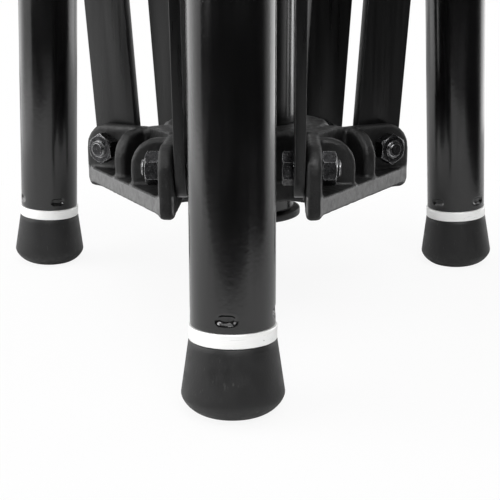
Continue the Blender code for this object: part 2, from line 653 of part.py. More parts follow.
clear_scene()
PARTS = make_collection(NAME)
CUTTERS = make_collection(f"{NAME}_cutters")
PAINT = make_material("gloss_black_paint", (0.012, 0.012, 0.013), 0.22, 0.0)
CASTING = make_material("satin_black_casting", (0.020, 0.020, 0.021), 0.48, 0.0)
STEEL = make_material("satin_black_bar", (0.028, 0.028, 0.029), 0.40, 0.0)
ZINC = make_material("dark_zinc", (0.180, 0.180, 0.180), 0.35, 1.0)
BRIGHT = make_material("bright_ring", (0.850, 0.850, 0.840), 0.30, 0.6)
RUBBER = make_material("grey_rubber", (0.035, 0.035, 0.036), 0.75, 0.0)
PLASTIC = make_material("black_plastic", (0.015, 0.015, 0.015), 0.50, 0.0)
NYLON = make_material("grey_nylon", (0.120, 0.120, 0.120), 0.55, 0.0)
ROOT = add_empty("stand_axis", None, (0.0, FEET_RADIUS / 4, 0.0))
FRAMES = {}
for leg_name, azimuth in LEGS.items():
    FRAMES[leg_name] = add_empty(f"frame_{leg_name}", ROOT, (0.0, 0.0, 0.0), heading(azimuth))
build_column()
build_hub()
build_braces()
build_legs()
build_collar()
build_mast()
settle()
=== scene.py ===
"""Folding tripod stand: finer pieces, finishes, floor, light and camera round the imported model.

Turned pieces, bars, castings, fasteners and knobs are rebuilt finely over their solids, each in the solid's
own place, and ride the solid's body. Lengths are in metres, +Z is up, and the floor is at zero.
"""

import logging
import math
from dataclasses import dataclass, field
from enum import Enum

import bmesh
import bpy
from mathutils import Euler, Matrix, Vector, noise


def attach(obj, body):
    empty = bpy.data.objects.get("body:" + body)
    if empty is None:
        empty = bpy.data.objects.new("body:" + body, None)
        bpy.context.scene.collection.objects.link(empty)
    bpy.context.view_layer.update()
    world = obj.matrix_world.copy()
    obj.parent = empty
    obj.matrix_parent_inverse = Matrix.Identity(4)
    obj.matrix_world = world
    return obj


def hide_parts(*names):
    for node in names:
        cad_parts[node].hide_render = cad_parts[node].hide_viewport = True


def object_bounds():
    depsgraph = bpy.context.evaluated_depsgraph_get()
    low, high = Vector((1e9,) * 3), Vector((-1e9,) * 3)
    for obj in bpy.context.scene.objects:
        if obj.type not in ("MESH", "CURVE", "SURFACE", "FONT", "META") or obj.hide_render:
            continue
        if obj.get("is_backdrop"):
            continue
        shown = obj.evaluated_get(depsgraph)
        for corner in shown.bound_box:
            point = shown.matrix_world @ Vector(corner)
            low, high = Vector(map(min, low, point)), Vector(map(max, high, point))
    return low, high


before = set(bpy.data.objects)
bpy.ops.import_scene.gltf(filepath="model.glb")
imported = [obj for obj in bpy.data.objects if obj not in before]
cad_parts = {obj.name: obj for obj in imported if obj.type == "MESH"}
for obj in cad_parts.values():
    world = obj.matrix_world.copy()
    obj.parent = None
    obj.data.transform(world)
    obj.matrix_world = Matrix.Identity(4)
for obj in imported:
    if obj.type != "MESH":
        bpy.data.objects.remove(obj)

LOG = logging.getLogger("folding_tripod_stand")
Range = tuple[float, float]
Profile = list[tuple[float, float]]
Place = tuple[float, float, float]
Colour = tuple[float, float, float]
Socket = bpy.types.NodeSocket

# Points nearer than this are one point.
TOUCHING = 0.000004
# A corner more open than this stays as it is, and a rounded one takes no more than a share of its edges.
NEARLY_STRAIGHT = math.radians(172.0)
EDGE_SHARE = 0.45


class Leg(Enum):
    """The three legs, by their direction from the column in degrees."""

    FRONT = -90.0
    RIGHT = 30.0
    LEFT = 150.0

    @property
    def label(self) -> str:
        """Name used in the model's nodes and bodies."""
        return self.name.lower()


class Side(Enum):
    """The two bars of a brace, by the side of the leg that each is on."""

    A = -1.0
    B = 1.0

    @property
    def label(self) -> str:
        """Name used in the model's nodes."""
        return self.name.lower()


class Crease(Enum):
    """Angles in degrees above which an edge stays sharp, by the kind of piece."""

    PLAIN = 35.0
    THREADED = 28.0
    MOULDED = 50.0
    CAST = 60.0


@dataclass(frozen=True)
class Linkage:
    """Places of the pivots that hub, braces, legs and collar share."""

    hub_height: float = 0.0980
    pivot_radius: float = 0.0750
    brace: float = 0.6635
    fold: float = math.radians(4.0)

    @property
    def knee(self) -> tuple[float, float]:
        """Radius and height of the knees."""
        return (
            self.pivot_radius + self.brace * math.sin(self.fold),
            self.hub_height + self.brace * math.cos(self.fold),
        )

    @property
    def below(self) -> float:
        """Length of leg from the knee to the floor."""
        return self.knee[1] / math.cos(self.fold)

    @property
    def feet_radius(self) -> float:
        """Distance of the feet from the column's axis."""
        return self.knee[0] + self.below * math.sin(self.fold)

    @property
    def collar_height(self) -> float:
        """Height of the collar's pivots."""
        return self.hub_height + 2 * self.brace * math.cos(self.fold)

    def axis(self) -> Matrix:
        """Frame on the floor at the column's axis."""
        return Matrix.Translation((0.0, self.feet_radius / 4, 0.0))

    def sector(self, leg: Leg) -> Matrix:
        """Frame on the floor at the column's axis with X towards one leg."""
        return self.axis() @ Matrix.Rotation(math.radians(leg.value), 4, "Z")

    def leg(self, leg: Leg) -> Matrix:
        """Frame of one leg, with Z up its tube from the floor.

        Args:
            leg: The leg.

        Returns:
            The matrix from the leg's frame to the model's.
        """
        foot = Matrix.Translation((self.feet_radius, 0.0, 0.0))
        return self.sector(leg) @ foot @ Matrix.Rotation(-self.fold, 4, "Y")

    def bar(self, leg: Leg) -> Matrix:
        """Frame of one brace, with Z up its bars from the hub pivot.

        Args:
            leg: The leg that the brace holds.

        Returns:
            The matrix from the brace's frame to the model's.
        """
        pivot = Matrix.Translation((self.pivot_radius, 0.0, self.hub_height))
        return self.sector(leg) @ pivot @ Matrix.Rotation(self.fold, 4, "Y")


LINKAGE = Linkage()


class Shader:
    """One material under construction, with short calls for the nodes that the finishes share."""

    bevel_samples: int = 6
    flat_to_edge: Range = (0.99, 0.86)

    def __init__(self, name: str) -> None:
        """Start a material with a Principled shader.

        Args:
            name: Name of the material.
        """
        self.material = bpy.data.materials.new(name)
        self.material.use_nodes = True
        self.tree = self.material.node_tree
        self.surface = self.tree.nodes["Principled BSDF"]
        self.place = self.add("ShaderNodeTexCoord").outputs["Object"]

    def add(self, kind: str) -> bpy.types.Node:
        """Add one node of a kind."""
        return self.tree.nodes.new(kind)

    def link(self, start: Socket, end: Socket) -> None:
        """Link two sockets."""
        self.tree.links.new(start, end)

    def set(self, **values: float) -> None:
        """Set plain numbers on the shader's own sockets.

        Args:
            values: Numbers by socket name, with underscores for spaces.
        """
        for key, value in values.items():
            self.surface.inputs[key.replace("_", " ").title().replace("Ior", "IOR")].default_value = value

    def noise(self, scale: float, detail: float = 3.0, stretch: Colour = (1.0, 1.0, 1.0)) -> Socket:
        """Add a noise pattern in the object's own coordinates.

        Args:
            scale: Waves per metre.
            detail: Octaves.
            stretch: Factor on the scale along each axis.

        Returns:
            The pattern from zero to one.
        """
        mapping = self.add("ShaderNodeMapping")
        mapping.inputs["Scale"].default_value = stretch
        self.link(self.place, mapping.inputs["Vector"])
        pattern = self.add("ShaderNodeTexNoise")
        pattern.inputs["Scale"].default_value = scale
        pattern.inputs["Detail"].default_value = detail
        self.link(mapping.outputs["Vector"], pattern.inputs["Vector"])
        return pattern.outputs["Fac"]

    def cells(self, scale: float) -> Socket:
        """Add a pattern of distances to scattered points.

        Args:
            scale: Points per metre.

        Returns:
            The distance to the nearest point.
        """
        pattern = self.add("ShaderNodeTexVoronoi")
        pattern.inputs["Scale"].default_value = scale
        self.link(self.place, pattern.inputs["Vector"])
        return pattern.outputs["Distance"]

    def remap(self, value: Socket, start: Range, end: Range = (0.0, 1.0)) -> Socket:
        """Map one range of numbers to another, clamped.

        Args:
            value: The number to map.
            start: Its range.
            end: The range to map to.

        Returns:
            The mapped number.
        """
        node = self.add("ShaderNodeMapRange")
        self.link(value, node.inputs["Value"])
        node.inputs["From Min"].default_value, node.inputs["From Max"].default_value = start
        node.inputs["To Min"].default_value, node.inputs["To Max"].default_value = end
        return node.outputs["Result"]

    def blend(self, factor: Socket, low: Colour | Socket, high: Colour) -> Socket:
        """Mix two colours.

        Args:
            factor: Share of the second colour.
            low: The first colour, or a socket that gives it.
            high: The second colour.

        Returns:
            The mixed colour.
        """
        node = self.add("ShaderNodeMix")
        node.data_type = "RGBA"
        self.link(factor, node.inputs[0])
        if isinstance(low, Socket):
            self.link(low, node.inputs[6])
        else:
            node.inputs[6].default_value = (*low, 1.0)
        node.inputs[7].default_value = (*high, 1.0)
        return node.outputs[2]

    def calculate(self, operation: str, first: Socket, second: Socket) -> Socket:
        """Combine two numbers.

        Args:
            operation: Name of the calculation.
            first: The first number.
            second: The second number.

        Returns:
            The result.
        """
        node = self.add("ShaderNodeMath")
        node.operation = operation
        self.link(first, node.inputs[0])
        self.link(second, node.inputs[1])
        return node.outputs[0]

    def product(self, *numbers: Socket) -> Socket:
        """Multiply numbers.

        Args:
            numbers: Two numbers or more.

        Returns:
            Their product.
        """
        result = numbers[0]
        for number in numbers[1:]:
            result = self.calculate("MULTIPLY", result, number)
        return result

    def dot(self, first: Socket, second: Socket | Colour) -> Socket:
        """Measure how far two directions agree.

        Args:
            first: The first direction.
            second: The second direction, or a socket that gives it.

        Returns:
            Their dot product.
        """
        node = self.add("ShaderNodeVectorMath")
        node.operation = "DOT_PRODUCT"
        self.link(first, node.inputs[0])
        if isinstance(second, Socket):
            self.link(second, node.inputs[1])
        else:
            node.inputs[1].default_value = second
        return node.outputs["Value"]

    def height(self) -> Socket:
        """Find the height above the floor at rest.

        Returns:
            The height in metres.
        """
        split = self.add("ShaderNodeSeparateXYZ")
        self.link(self.place, split.inputs[0])
        return split.outputs["Z"]

    def edges(self, radius: float) -> Socket:
        """Find the edges of a shape.

        Args:
            radius: How far from an edge it is still felt.

        Returns:
            One on an edge, falling to zero on a flat.
        """
        rounded = self.add("ShaderNodeBevel")
        rounded.samples = self.bevel_samples
        rounded.inputs["Radius"].default_value = radius
        facing = self.add("ShaderNodeNewGeometry")
        agreement = self.dot(rounded.outputs["Normal"], facing.outputs["Normal"])
        return self.remap(agreement, self.flat_to_edge)

    def bump(self, *layers: tuple[Socket, float, float]) -> None:
        """Raise the surface by patterns, one over another.

        Args:
            layers: A pattern, strength and height in metres for each.
        """
        under = None
        for pattern, strength, distance in layers:
            node = self.add("ShaderNodeBump")
            node.inputs["Strength"].default_value = strength
            node.inputs["Distance"].default_value = distance
            self.link(pattern, node.inputs["Height"])
            if under is not None:
                self.link(under, node.inputs["Normal"])
            under = node.outputs["Normal"]
        self.link(under, self.surface.inputs["Normal"])

    def paint(self, colour: Socket, roughness: Socket) -> None:
        """Give the shader its colour and roughness."""
        self.link(colour, self.surface.inputs["Base Color"])
        self.link(roughness, self.surface.inputs["Roughness"])


@dataclass(frozen=True)
class Finish:
    """A surface finish, made once as a material and named for its slot. Its scales are waves per metre."""

    slot: str
    colour: Colour

    def dress(self, shader: Shader) -> None:
        """Add this finish's nodes to a material."""
        raise NotImplementedError

    def lightened(self, factor: float) -> Colour:
        """Give the finish's colour times a factor."""
        return tuple(factor * part for part in self.colour)

    def material(self) -> bpy.types.Material:
        """Find the finish's material, which is made at the first call.

        Returns:
            The material.
        """
        found = bpy.data.materials.get(f"fine_{self.slot}")
        if found is None:
            shader = Shader(f"fine_{self.slot}")
            self.dress(shader)
            found = shader.material
        return found


@dataclass(frozen=True)
class GlossPaint(Finish):
    """Gloss powder coat with orange peel, dust and rubbed streaks."""

    dust: Colour = (0.020, 0.020, 0.019)
    speck_scale: float = 1500.0
    streak_scale: float = 240.0
    streak_along: float = 0.04
    patch_scale: float = 28.0
    peel_scale: float = 420.0
    roughness: Range = (0.16, 0.27)
    sheen: float = 0.65
    coat: float = 0.20
    coat_roughness: float = 0.08

    def dress(self, shader: Shader) -> None:
        """Add orange peel, specks and a roughness that varies along the tube.

        Args:
            shader: The material under construction.
        """
        specks = shader.remap(shader.noise(self.speck_scale, 2.0), (0.69, 0.76), (0.0, 0.8))
        colour = shader.blend(specks, self.colour, self.dust)
        streaks = shader.noise(self.streak_scale, 4.0, (1.0, 1.0, self.streak_along))
        rubbed = shader.product(streaks, shader.noise(self.patch_scale))
        shader.paint(colour, shader.remap(rubbed, (0.12, 0.40), self.roughness))
        shader.set(specular_ior_level=self.sheen, coat_weight=self.coat, coat_roughness=self.coat_roughness)
        peel = shader.noise(self.peel_scale, 2.0)
        shader.bump((peel, 0.10, 0.0004), (specks, 0.12, 0.0002))


@dataclass(frozen=True)
class CastPaint(Finish):
    """Black paint on a sand casting: grain, lumps, and edges lighter, partly from rubbed wear and partly as
    a painted highlight.
    """

    # Pale grey of the edges: rubbed wear and a painted highlight.
    worn: Colour = (0.16, 0.16, 0.16)
    pitted: Colour = (0.034, 0.034, 0.035)
    grain: float = 1150.0
    cloud_scale: float = 90.0
    cloud_lift: float = 2.1
    wear_scale: float = 380.0
    wear_edge: float = 0.0012
    sheen_scale: float = 330.0
    lump_scale: float = 210.0
    roughness: Range = (0.40, 0.58)
    sheen: float = 0.40

    def dress(self, shader: Shader) -> None:
        """Add casting grain, clouding, and edges lightened by wear and by a painted highlight.

        Args:
            shader: The material under construction.
        """
        cloud = shader.remap(shader.noise(self.cloud_scale, 4.0), (0.35, 0.70))
        colour = shader.blend(cloud, self.colour, self.lightened(self.cloud_lift))
        pits = shader.remap(shader.noise(self.grain), (0.60, 0.74), (0.0, 0.55))
        colour = shader.blend(pits, colour, self.pitted)
        rubbed = shader.remap(shader.noise(self.wear_scale, 4.0), (0.38, 0.62), (0.1, 0.9))
        # Edges lightened: partly rubbed wear, partly a painted highlight along the edges.
        wear_and_highlight = shader.product(shader.edges(self.wear_edge), rubbed)
        colour = shader.blend(wear_and_highlight, colour, self.worn)
        # Painted highlight band on the plates' edges; only the hub's finish adds one.
        colour = self.ground(shader, colour)
        shader.paint(colour, shader.remap(shader.noise(self.sheen_scale), (0.3, 0.7), self.roughness))
        shader.set(specular_ior_level=self.sheen)
        lumps = shader.noise(self.lump_scale)
        shader.bump((lumps, 0.45, 0.0010), (shader.noise(self.grain), 0.40, 0.0005))

    def ground(self, shader: Shader, colour: Socket) -> Socket:
        """Leave the colour as it is: a plain casting gets no painted highlight band."""
        return colour


@dataclass(frozen=True)
class CastIron(CastPaint):
    """The hub's paint, with a painted highlight: a grey band on the outer edges of its plates."""

    # Grey of the painted highlight band on the plates' edges.
    bare: Colour = (0.150, 0.150, 0.150)
    low: float = 0.0738
    high: float = 0.0852
    fade: float = 0.0006
    facing: tuple[float, ...] = (-30.0, 90.0, 210.0)
    patch_scale: float = 260.0

    def ground(self, shader: Shader, colour: Socket) -> Socket:
        """Paint a grey highlight band on the plates' outer edges.

        Args:
            shader: The material under construction.
            colour: The cast colour.

        Returns:
            The colour with the ground edges in it.
        """
        face = shader.add("ShaderNodeNewGeometry").outputs["True Normal"]
        angles = [math.radians(angle) for angle in self.facing]
        sides = [shader.dot(face, (math.cos(angle), math.sin(angle), 0.0)) for angle in angles]
        nearest = sides[0]
        for side in sides[1:]:
            nearest = shader.calculate("MAXIMUM", nearest, side)
        height = shader.height()
        # Painted highlight: faces turned along the plate edges, within the plates' height, are lightened.
        share = shader.product(
            shader.remap(nearest, (0.930, 0.965)),
            shader.remap(height, (self.low - self.fade, self.low)),
            shader.remap(height, (self.high + self.fade, self.high)),
            shader.remap(shader.noise(self.patch_scale, 4.0), (0.30, 0.55), (0.72, 1.0)),
        )
        return shader.blend(share, colour, self.bare)


@dataclass(frozen=True)
class BarPaint(Finish):
    """Thin satin paint on hot-rolled flat bar, with mill streaks and pale edges, partly rubbed bare and
    partly a painted highlight.
    """

    streaked: Colour = (0.0068, 0.0068, 0.0070)
    # Pale grey of the edges and lowest end: bare steel and a painted highlight.
    bare: Colour = (0.34, 0.34, 0.35)
    foot: float = 0.0829
    sheared: Range = (0.0012, 0.0004)
    streak_scale: float = 300.0
    streak_along: float = 0.03
    wear_scale: float = 160.0
    wear_edge: float = 0.0009
    grain: float = 900.0
    roughness: Range = (0.26, 0.38)
    sheen: float = 0.35

    def dress(self, shader: Shader) -> None:
        """Add streaks along the bar, and pale edges and a pale lowest end, each partly bare steel and
        partly a painted highlight.

        Args:
            shader: The material under construction.
        """
        streaks = shader.noise(self.streak_scale, 4.0, (1.0, 1.0, self.streak_along))
        colour = shader.blend(shader.remap(streaks, (0.35, 0.70)), self.colour, self.streaked)
        rubbed = shader.remap(shader.noise(self.wear_scale, 4.0), (0.42, 0.66), (0.0, 0.75))
        # Edges lightened: partly rubbed wear, partly a painted highlight along the edges.
        colour = shader.blend(shader.product(shader.edges(self.wear_edge), rubbed), colour, self.bare)
        # Painted highlight on the bars' lowest edge, where the cut end catches light; partly bare sheared
        # steel.
        above, below = self.sheared
        end = shader.remap(shader.height(), (self.foot + above, self.foot + below), (0.0, 0.85))
        colour = shader.blend(end, colour, self.bare)
        shader.paint(colour, shader.remap(streaks, (0.3, 0.7), self.roughness))
        shader.set(specular_ior_level=self.sheen)
        shader.bump((streaks, 0.12, 0.0004), (shader.noise(self.grain, 2.0), 0.12, 0.0003))


@dataclass(frozen=True)
class DarkZinc(Finish):
    """Dark plated steel with painted glints: bright flecks and bright edges."""

    # Colour of the painted glints.
    bright: Colour = (0.62, 0.62, 0.63)
    tarnish_scale: float = 420.0
    tarnish_lift: float = 2.4
    fleck_scale: float = 1500.0
    polished_edge: float = 0.0005
    sheen_scale: float = 700.0
    grain: float = 1300.0
    roughness: Range = (0.20, 0.42)

    def dress(self, shader: Shader) -> None:
        """Add tarnish, and bright flecks and edges painted as glints.

        Args:
            shader: The material under construction.
        """
        tarnish = shader.remap(shader.noise(self.tarnish_scale, 5.0), (0.36, 0.66))
        colour = shader.blend(tarnish, self.colour, self.lightened(self.tarnish_lift))
        # Painted glints: scattered bright flecks and every edge in the bright colour.
        glint_flecks = shader.remap(shader.noise(self.fleck_scale), (0.60, 0.74), (0.0, 0.28))
        colour = shader.blend(glint_flecks, colour, self.bright)
        colour = shader.blend(shader.edges(self.polished_edge), colour, self.bright)
        shader.paint(colour, shader.remap(shader.noise(self.sheen_scale), (0.3, 0.7), self.roughness))
        shader.set(metallic=1.0)
        shader.bump((shader.noise(self.grain), 0.16, 0.0003))


@dataclass(frozen=True)
class BrightMetal(Finish):
    """Pale plated ring with faint turning lines and a few dark marks."""

    mark: Colour = (0.16, 0.15, 0.14)
    line_scale: float = 60.0
    line_squeeze: float = 40.0
    line_shade: float = 0.90
    mark_scale: float = 520.0
    roughness: Range = (0.26, 0.44)
    metal: float = 0.22

    def dress(self, shader: Shader) -> None:
        """Add turning lines, clouding and scattered marks.

        Args:
            shader: The material under construction.
        """
        lines = shader.noise(self.line_scale, 3.0, (1.0, 1.0, self.line_squeeze))
        colour = shader.blend(lines, self.colour, self.lightened(self.line_shade))
        marks = shader.remap(shader.noise(self.mark_scale, 4.0), (0.71, 0.77), (0.0, 0.7))
        colour = shader.blend(marks, colour, self.mark)
        shader.paint(colour, shader.remap(lines, (0.3, 0.7), self.roughness))
        shader.set(metallic=self.metal)
        shader.bump((lines, 0.10, 0.0002), (marks, 0.30, 0.0002))


@dataclass(frozen=True)
class Rubber(Finish):
    """Moulded rubber with a fine bloom, scuffs and floor dust near the sole."""

    dust: Colour = (0.060, 0.059, 0.057)
    bloom_scale: float = 160.0
    bloom_lift: float = 1.55
    dust_height: Range = (0.012, 0.001)
    dust_scale: float = 420.0
    scuff_scale: float = 700.0
    scuff_along: float = 0.25
    grain: float = 1250.0
    roughness: Range = (0.44, 0.58)
    sheen: float = 0.42

    def dress(self, shader: Shader) -> None:
        """Add bloom, scuffs and dust that thins with height.

        Args:
            shader: The material under construction.
        """
        bloom = shader.remap(shader.noise(self.bloom_scale, 5.0), (0.34, 0.70))
        colour = shader.blend(bloom, self.colour, self.lightened(self.bloom_lift))
        low = shader.remap(shader.height(), self.dust_height, (0.0, 0.4))
        dusty = shader.product(low, shader.remap(shader.noise(self.dust_scale, 4.0), (0.42, 0.66)))
        colour = shader.blend(dusty, colour, self.dust)
        upright = shader.noise(self.scuff_scale, 3.0, (1.0, 1.0, self.scuff_along))
        colour = shader.blend(shader.remap(upright, (0.66, 0.74), (0.0, 0.5)), colour, self.dust)
        shader.paint(colour, shader.remap(bloom, (0.0, 1.0), self.roughness))
        shader.set(specular_ior_level=self.sheen)
        shader.bump((shader.noise(self.grain, 2.0), 0.22, 0.0003))


@dataclass(frozen=True)
class MouldedPlastic(Finish):
    """Moulded plastic with a fine spark texture and rubbed edges."""

    rubbed: Colour = (0.075, 0.075, 0.076)
    roughness: Range = (0.38, 0.56)
    cloud_scale: float = 140.0
    cloud_lift: float = 1.5
    rubbed_edge: float = 0.0010
    spark_scale: float = 900.0
    grain: float = 1700.0

    def dress(self, shader: Shader) -> None:
        """Add spark texture and rubbed edges.

        Args:
            shader: The material under construction.
        """
        cloud = shader.remap(shader.noise(self.cloud_scale, 4.0), (0.36, 0.66))
        colour = shader.blend(cloud, self.colour, self.lightened(self.cloud_lift))
        colour = shader.blend(shader.edges(self.rubbed_edge), colour, self.rubbed)
        shader.paint(colour, shader.remap(cloud, (0.0, 1.0), self.roughness))
        sparks = shader.cells(self.spark_scale)
        shader.bump((sparks, 0.18, 0.0003), (shader.noise(self.grain, 2.0), 0.12, 0.0002))


PAINT = GlossPaint("gloss_black_paint", (0.0014, 0.0014, 0.0015))
IRON = CastIron("black_cast_iron", (0.0032, 0.0032, 0.0033))
ALLOY = CastPaint("black_cast_alloy", (0.0080, 0.0080, 0.0083), grain=900.0)
BAR = BarPaint("satin_black_bar", (0.0030, 0.0030, 0.0031))
ZINC = DarkZinc("dark_zinc", (0.022, 0.022, 0.023))
BRIGHT = BrightMetal("bright_ring", (0.96, 0.96, 0.95))
RUBBER = Rubber("grey_rubber", (0.0078, 0.0078, 0.0080))
PLASTIC = MouldedPlastic("black_plastic", (0.0085, 0.0085, 0.0088))
NYLON = MouldedPlastic(
    "grey_nylon", (0.115, 0.115, 0.113), rubbed=(0.24, 0.24, 0.235), roughness=(0.45, 0.62)
)


def add_object(name: str, data: bpy.types.ID) -> bpy.types.Object:
    """Add an object to the scene.

    Args:
        name: Name of the object.
        data: Its mesh, curve or light.

    Returns:
        The object.
    """
    obj = bpy.data.objects.new(name, data)
    bpy.context.scene.collection.objects.link(obj)
    return obj


def evaluated(obj: bpy.types.Object) -> bpy.types.Mesh:
    """Turn an object into a plain mesh.

    Args:
        obj: The object, which is removed.

    Returns:
        Its shape with every modifier applied.
    """
    bpy.context.view_layer.update()
    graph = bpy.context.evaluated_depsgraph_get()
    mesh = bpy.data.meshes.new_from_object(obj.evaluated_get(graph))
    bpy.data.objects.remove(obj, do_unlink=True)
    return mesh


def weld(mesh: bpy.types.Mesh) -> bpy.types.Mesh:
    """Join a mesh's touching points and turn its faces outward.

    Args:
        mesh: The mesh, changed in place.

    Returns:
        The same mesh.
    """
    shell = bmesh.new()
    shell.from_mesh(mesh)
    bmesh.ops.remove_doubles(shell, verts=shell.verts, dist=TOUCHING)
    bmesh.ops.recalc_face_normals(shell, faces=shell.faces)
    shell.to_mesh(mesh)
    shell.free()
    return mesh


def joined(meshes: list[bpy.types.Mesh]) -> bpy.types.Mesh:
    """Put several meshes into one.

    Args:
        meshes: The meshes.

    Returns:
        A new mesh with all their faces.
    """
    shell = bmesh.new()
    for mesh in meshes:
        shell.from_mesh(mesh)
    whole = bpy.data.meshes.new("joined")
    shell.to_mesh(whole)
    shell.free()
    return whole


def settle(
    name: str,
    mesh: bpy.types.Mesh,
    body: str,
    finish: Finish,
    nodes: list[str],
    crease: Crease = Crease.PLAIN,
) -> bpy.types.Object:
    """Finish one piece: material, shading, body and the nodes that it stands for.

    Args:
        name: Name of the piece.
        mesh: Its mesh, already in place.
        body: The body that it moves with.
        finish: Its finish.
        nodes: The model's nodes that it replaces.
        crease: How open an edge may be before it stays sharp.

    Returns:
        The piece.
    """
    mesh.materials.clear()
    mesh.materials.append(finish.material())
    mesh.shade_smooth()
    mesh.set_sharp_from_angle(angle=math.radians(crease.value))
    obj = add_object(name, mesh)
    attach(obj, body)
    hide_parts(*nodes)
    LOG.info("%s: %d points, stands for %s", name, len(mesh.vertices), ", ".join(nodes))
    return obj


def filleted(profile: Profile, radius: float, closed: bool, steps: int = 4) -> Profile:
    """Round the corners of a profile.

    Args:
        profile: Points of radius and height.
        radius: Radius of the corners, less where an edge is short.
        closed: Whether the last point joins the first.
        steps: Points on each corner, less one.

    Returns:
        The rounded profile.
    """
    points = [Vector(point) for point in profile]
    count = len(points)
    result: Profile = []
    for index, point in enumerate(points):
        if not closed and index in (0, count - 1):
            result.append(tuple(point))
            continue
        back = points[index - 1] - point
        ahead = points[(index + 1) % count] - point
        turn = back.angle(ahead)
        if turn > NEARLY_STRAIGHT:
            result.append(tuple(point))
            continue
        reach = min(radius / math.tan(turn / 2), EDGE_SHARE * back.length, EDGE_SHARE * ahead.length)
        first = point + back.normalized() * reach
        last = point + ahead.normalized() * reach
        for step in range(steps + 1):
            share = step / steps
            blend = first.lerp(point, share).lerp(point.lerp(last, share), share)
            result.append(tuple(blend))
    return result


@dataclass
class Turned:
    """A turned shape about Z."""

    profile: Profile
    steps: int = 96
    closed: bool = False

    def mesh(self) -> bpy.types.Mesh:
        """Turn the profile.

        Returns:
            The closed mesh.
        """
        verts: list[Place] = []
        rings: list[list[int]] = []
        for radius, height in self.profile:
            if radius < TOUCHING:
                rings.append([len(verts)] * self.steps)
                verts.append((0.0, 0.0, height))
                continue
            start = len(verts)
            rings.append(list(range(start, start + self.steps)))
            for step in range(self.steps):
                angle = 2 * math.pi * step / self.steps
                verts.append((radius * math.cos(angle), radius * math.sin(angle), height))
        pairs = list(zip(rings, rings[1:]))
        if self.closed:
            pairs.append((rings[-1], rings[0]))
        faces = []
        for low, high in pairs:
            for step in range(self.steps):
                after = (step + 1) % self.steps
                loop = [low[step], low[after], high[after], high[step]]
                corners = [corner for place, corner in enumerate(loop) if corner not in loop[:place]]
                if len(corners) > 2:
                    faces.append(corners)
        mesh = bpy.data.meshes.new("turned")
        mesh.from_pydata(verts, [], faces)
        return weld(mesh)


@dataclass
class Cutout:
    """A flat shape with rounded edges, from an outline and its holes."""

    loops: list[Profile]
    thickness: float
    edge: float
    steps: int = 2

    def mesh(self) -> bpy.types.Mesh:
        """Fill the outline and thicken it evenly to either side of its plane.

        Returns:
            The closed mesh.
        """
        curve = bpy.data.curves.new("outline", "CURVE")
        curve.dimensions = "2D"
        curve.fill_mode = "BOTH"
        curve.extrude = self.thickness / 2 - self.edge
        curve.bevel_depth = self.edge
        curve.bevel_resolution = self.steps
        curve.offset = -self.edge
        for loop in self.loops:
            spline = curve.splines.new("POLY")
            spline.points.add(len(loop) - 1)
            for point, (across, along) in zip(spline.points, loop):
                point.co = (across, along, 0.0, 1.0)
            spline.use_cyclic_u = True
        return weld(evaluated(add_object("outline", curve)))


def arc(centre: tuple[float, float], radius: float, start: float, end: float, steps: int) -> Profile:
    """Place points on a circle's arc.

    Args:
        centre: Centre of the circle.
        radius: Its radius.
        start: First angle in degrees.
        end: Last angle in degrees.
        steps: Number of points less one.

    Returns:
        The points, both ends included.
    """
    points = []
    for step in range(steps + 1):
        angle = math.radians(start + (end - start) * step / steps)
        points.append((centre[0] + radius * math.cos(angle), centre[1] + radius * math.sin(angle)))
    return points


def hollow(inner: float, outer: float, low: float, high: float) -> Profile:
    """Draw the profile of a plain tube."""
    return [(inner, low), (inner, high), (outer, high), (outer, low)]


class GeometryTree:
    """A Geometry Nodes tree under construction, from one geometry to another."""

    def __init__(self, name: str, inputs: dict[str, str]) -> None:
        """Start a tree with a geometry input, named inputs and a material.

        Args:
            name: Name of the tree.
            inputs: Socket types by input name.
        """
        self.tree = bpy.data.node_groups.new(name, "GeometryNodeTree")
        face = self.tree.interface
        face.new_socket(name="Geometry", in_out="OUTPUT", socket_type="NodeSocketGeometry")
        face.new_socket(name="Geometry", in_out="INPUT", socket_type="NodeSocketGeometry")
        for title, kind in {**inputs, "Material": "NodeSocketMaterial"}.items():
            face.new_socket(name=title, in_out="INPUT", socket_type=kind)
        self.given = self.add("NodeGroupInput").outputs

    def add(self, kind: str, **settings: str) -> bpy.types.Node:
        """Add one node of a kind and set its options.

        Args:
            kind: Type of the node.
            settings: Its options by name.

        Returns:
            The node.
        """
        node = self.tree.nodes.new(kind)
        for key, value in settings.items():
            setattr(node, key, value)
        return node

    def feed(self, node: bpy.types.Node, **sources: object) -> bpy.types.Node:
        """Link or set a node's inputs.

        Args:
            node: The node.
            sources: Sockets or values by input name, with underscores for spaces, or _0, _1 for a place.

        Returns:
            The node.
        """
        for key, source in sources.items():
            place = int(key[1:]) if key[1:].isdigit() else key.replace("_", " ")
            socket = node.inputs[place]
            if isinstance(source, Socket):
                self.tree.links.new(source, socket)
            else:
                socket.default_value = source
        return node

    def math(self, operation: str, *values: object) -> Socket:
        """Add a calculation on sockets or numbers."""
        node = self.add("ShaderNodeMath", operation=operation)
        return self.feed(node, **{f"_{place}": value for place, value in enumerate(values)}).outputs[0]

    def close(self, result: Socket) -> bpy.types.NodeTree:
        """End the tree with real geometry in its material.

        Args:
            result: The geometry.

        Returns:
            The finished tree.
        """
        real = self.feed(self.add("GeometryNodeRealizeInstances"), Geometry=result)
        dressed = self.feed(
            self.add("GeometryNodeSetMaterial"), Geometry=real.outputs[0], Material=self.given["Material"]
        )
        self.feed(self.add("NodeGroupOutput"), Geometry=dressed.outputs[0])
        return self.tree


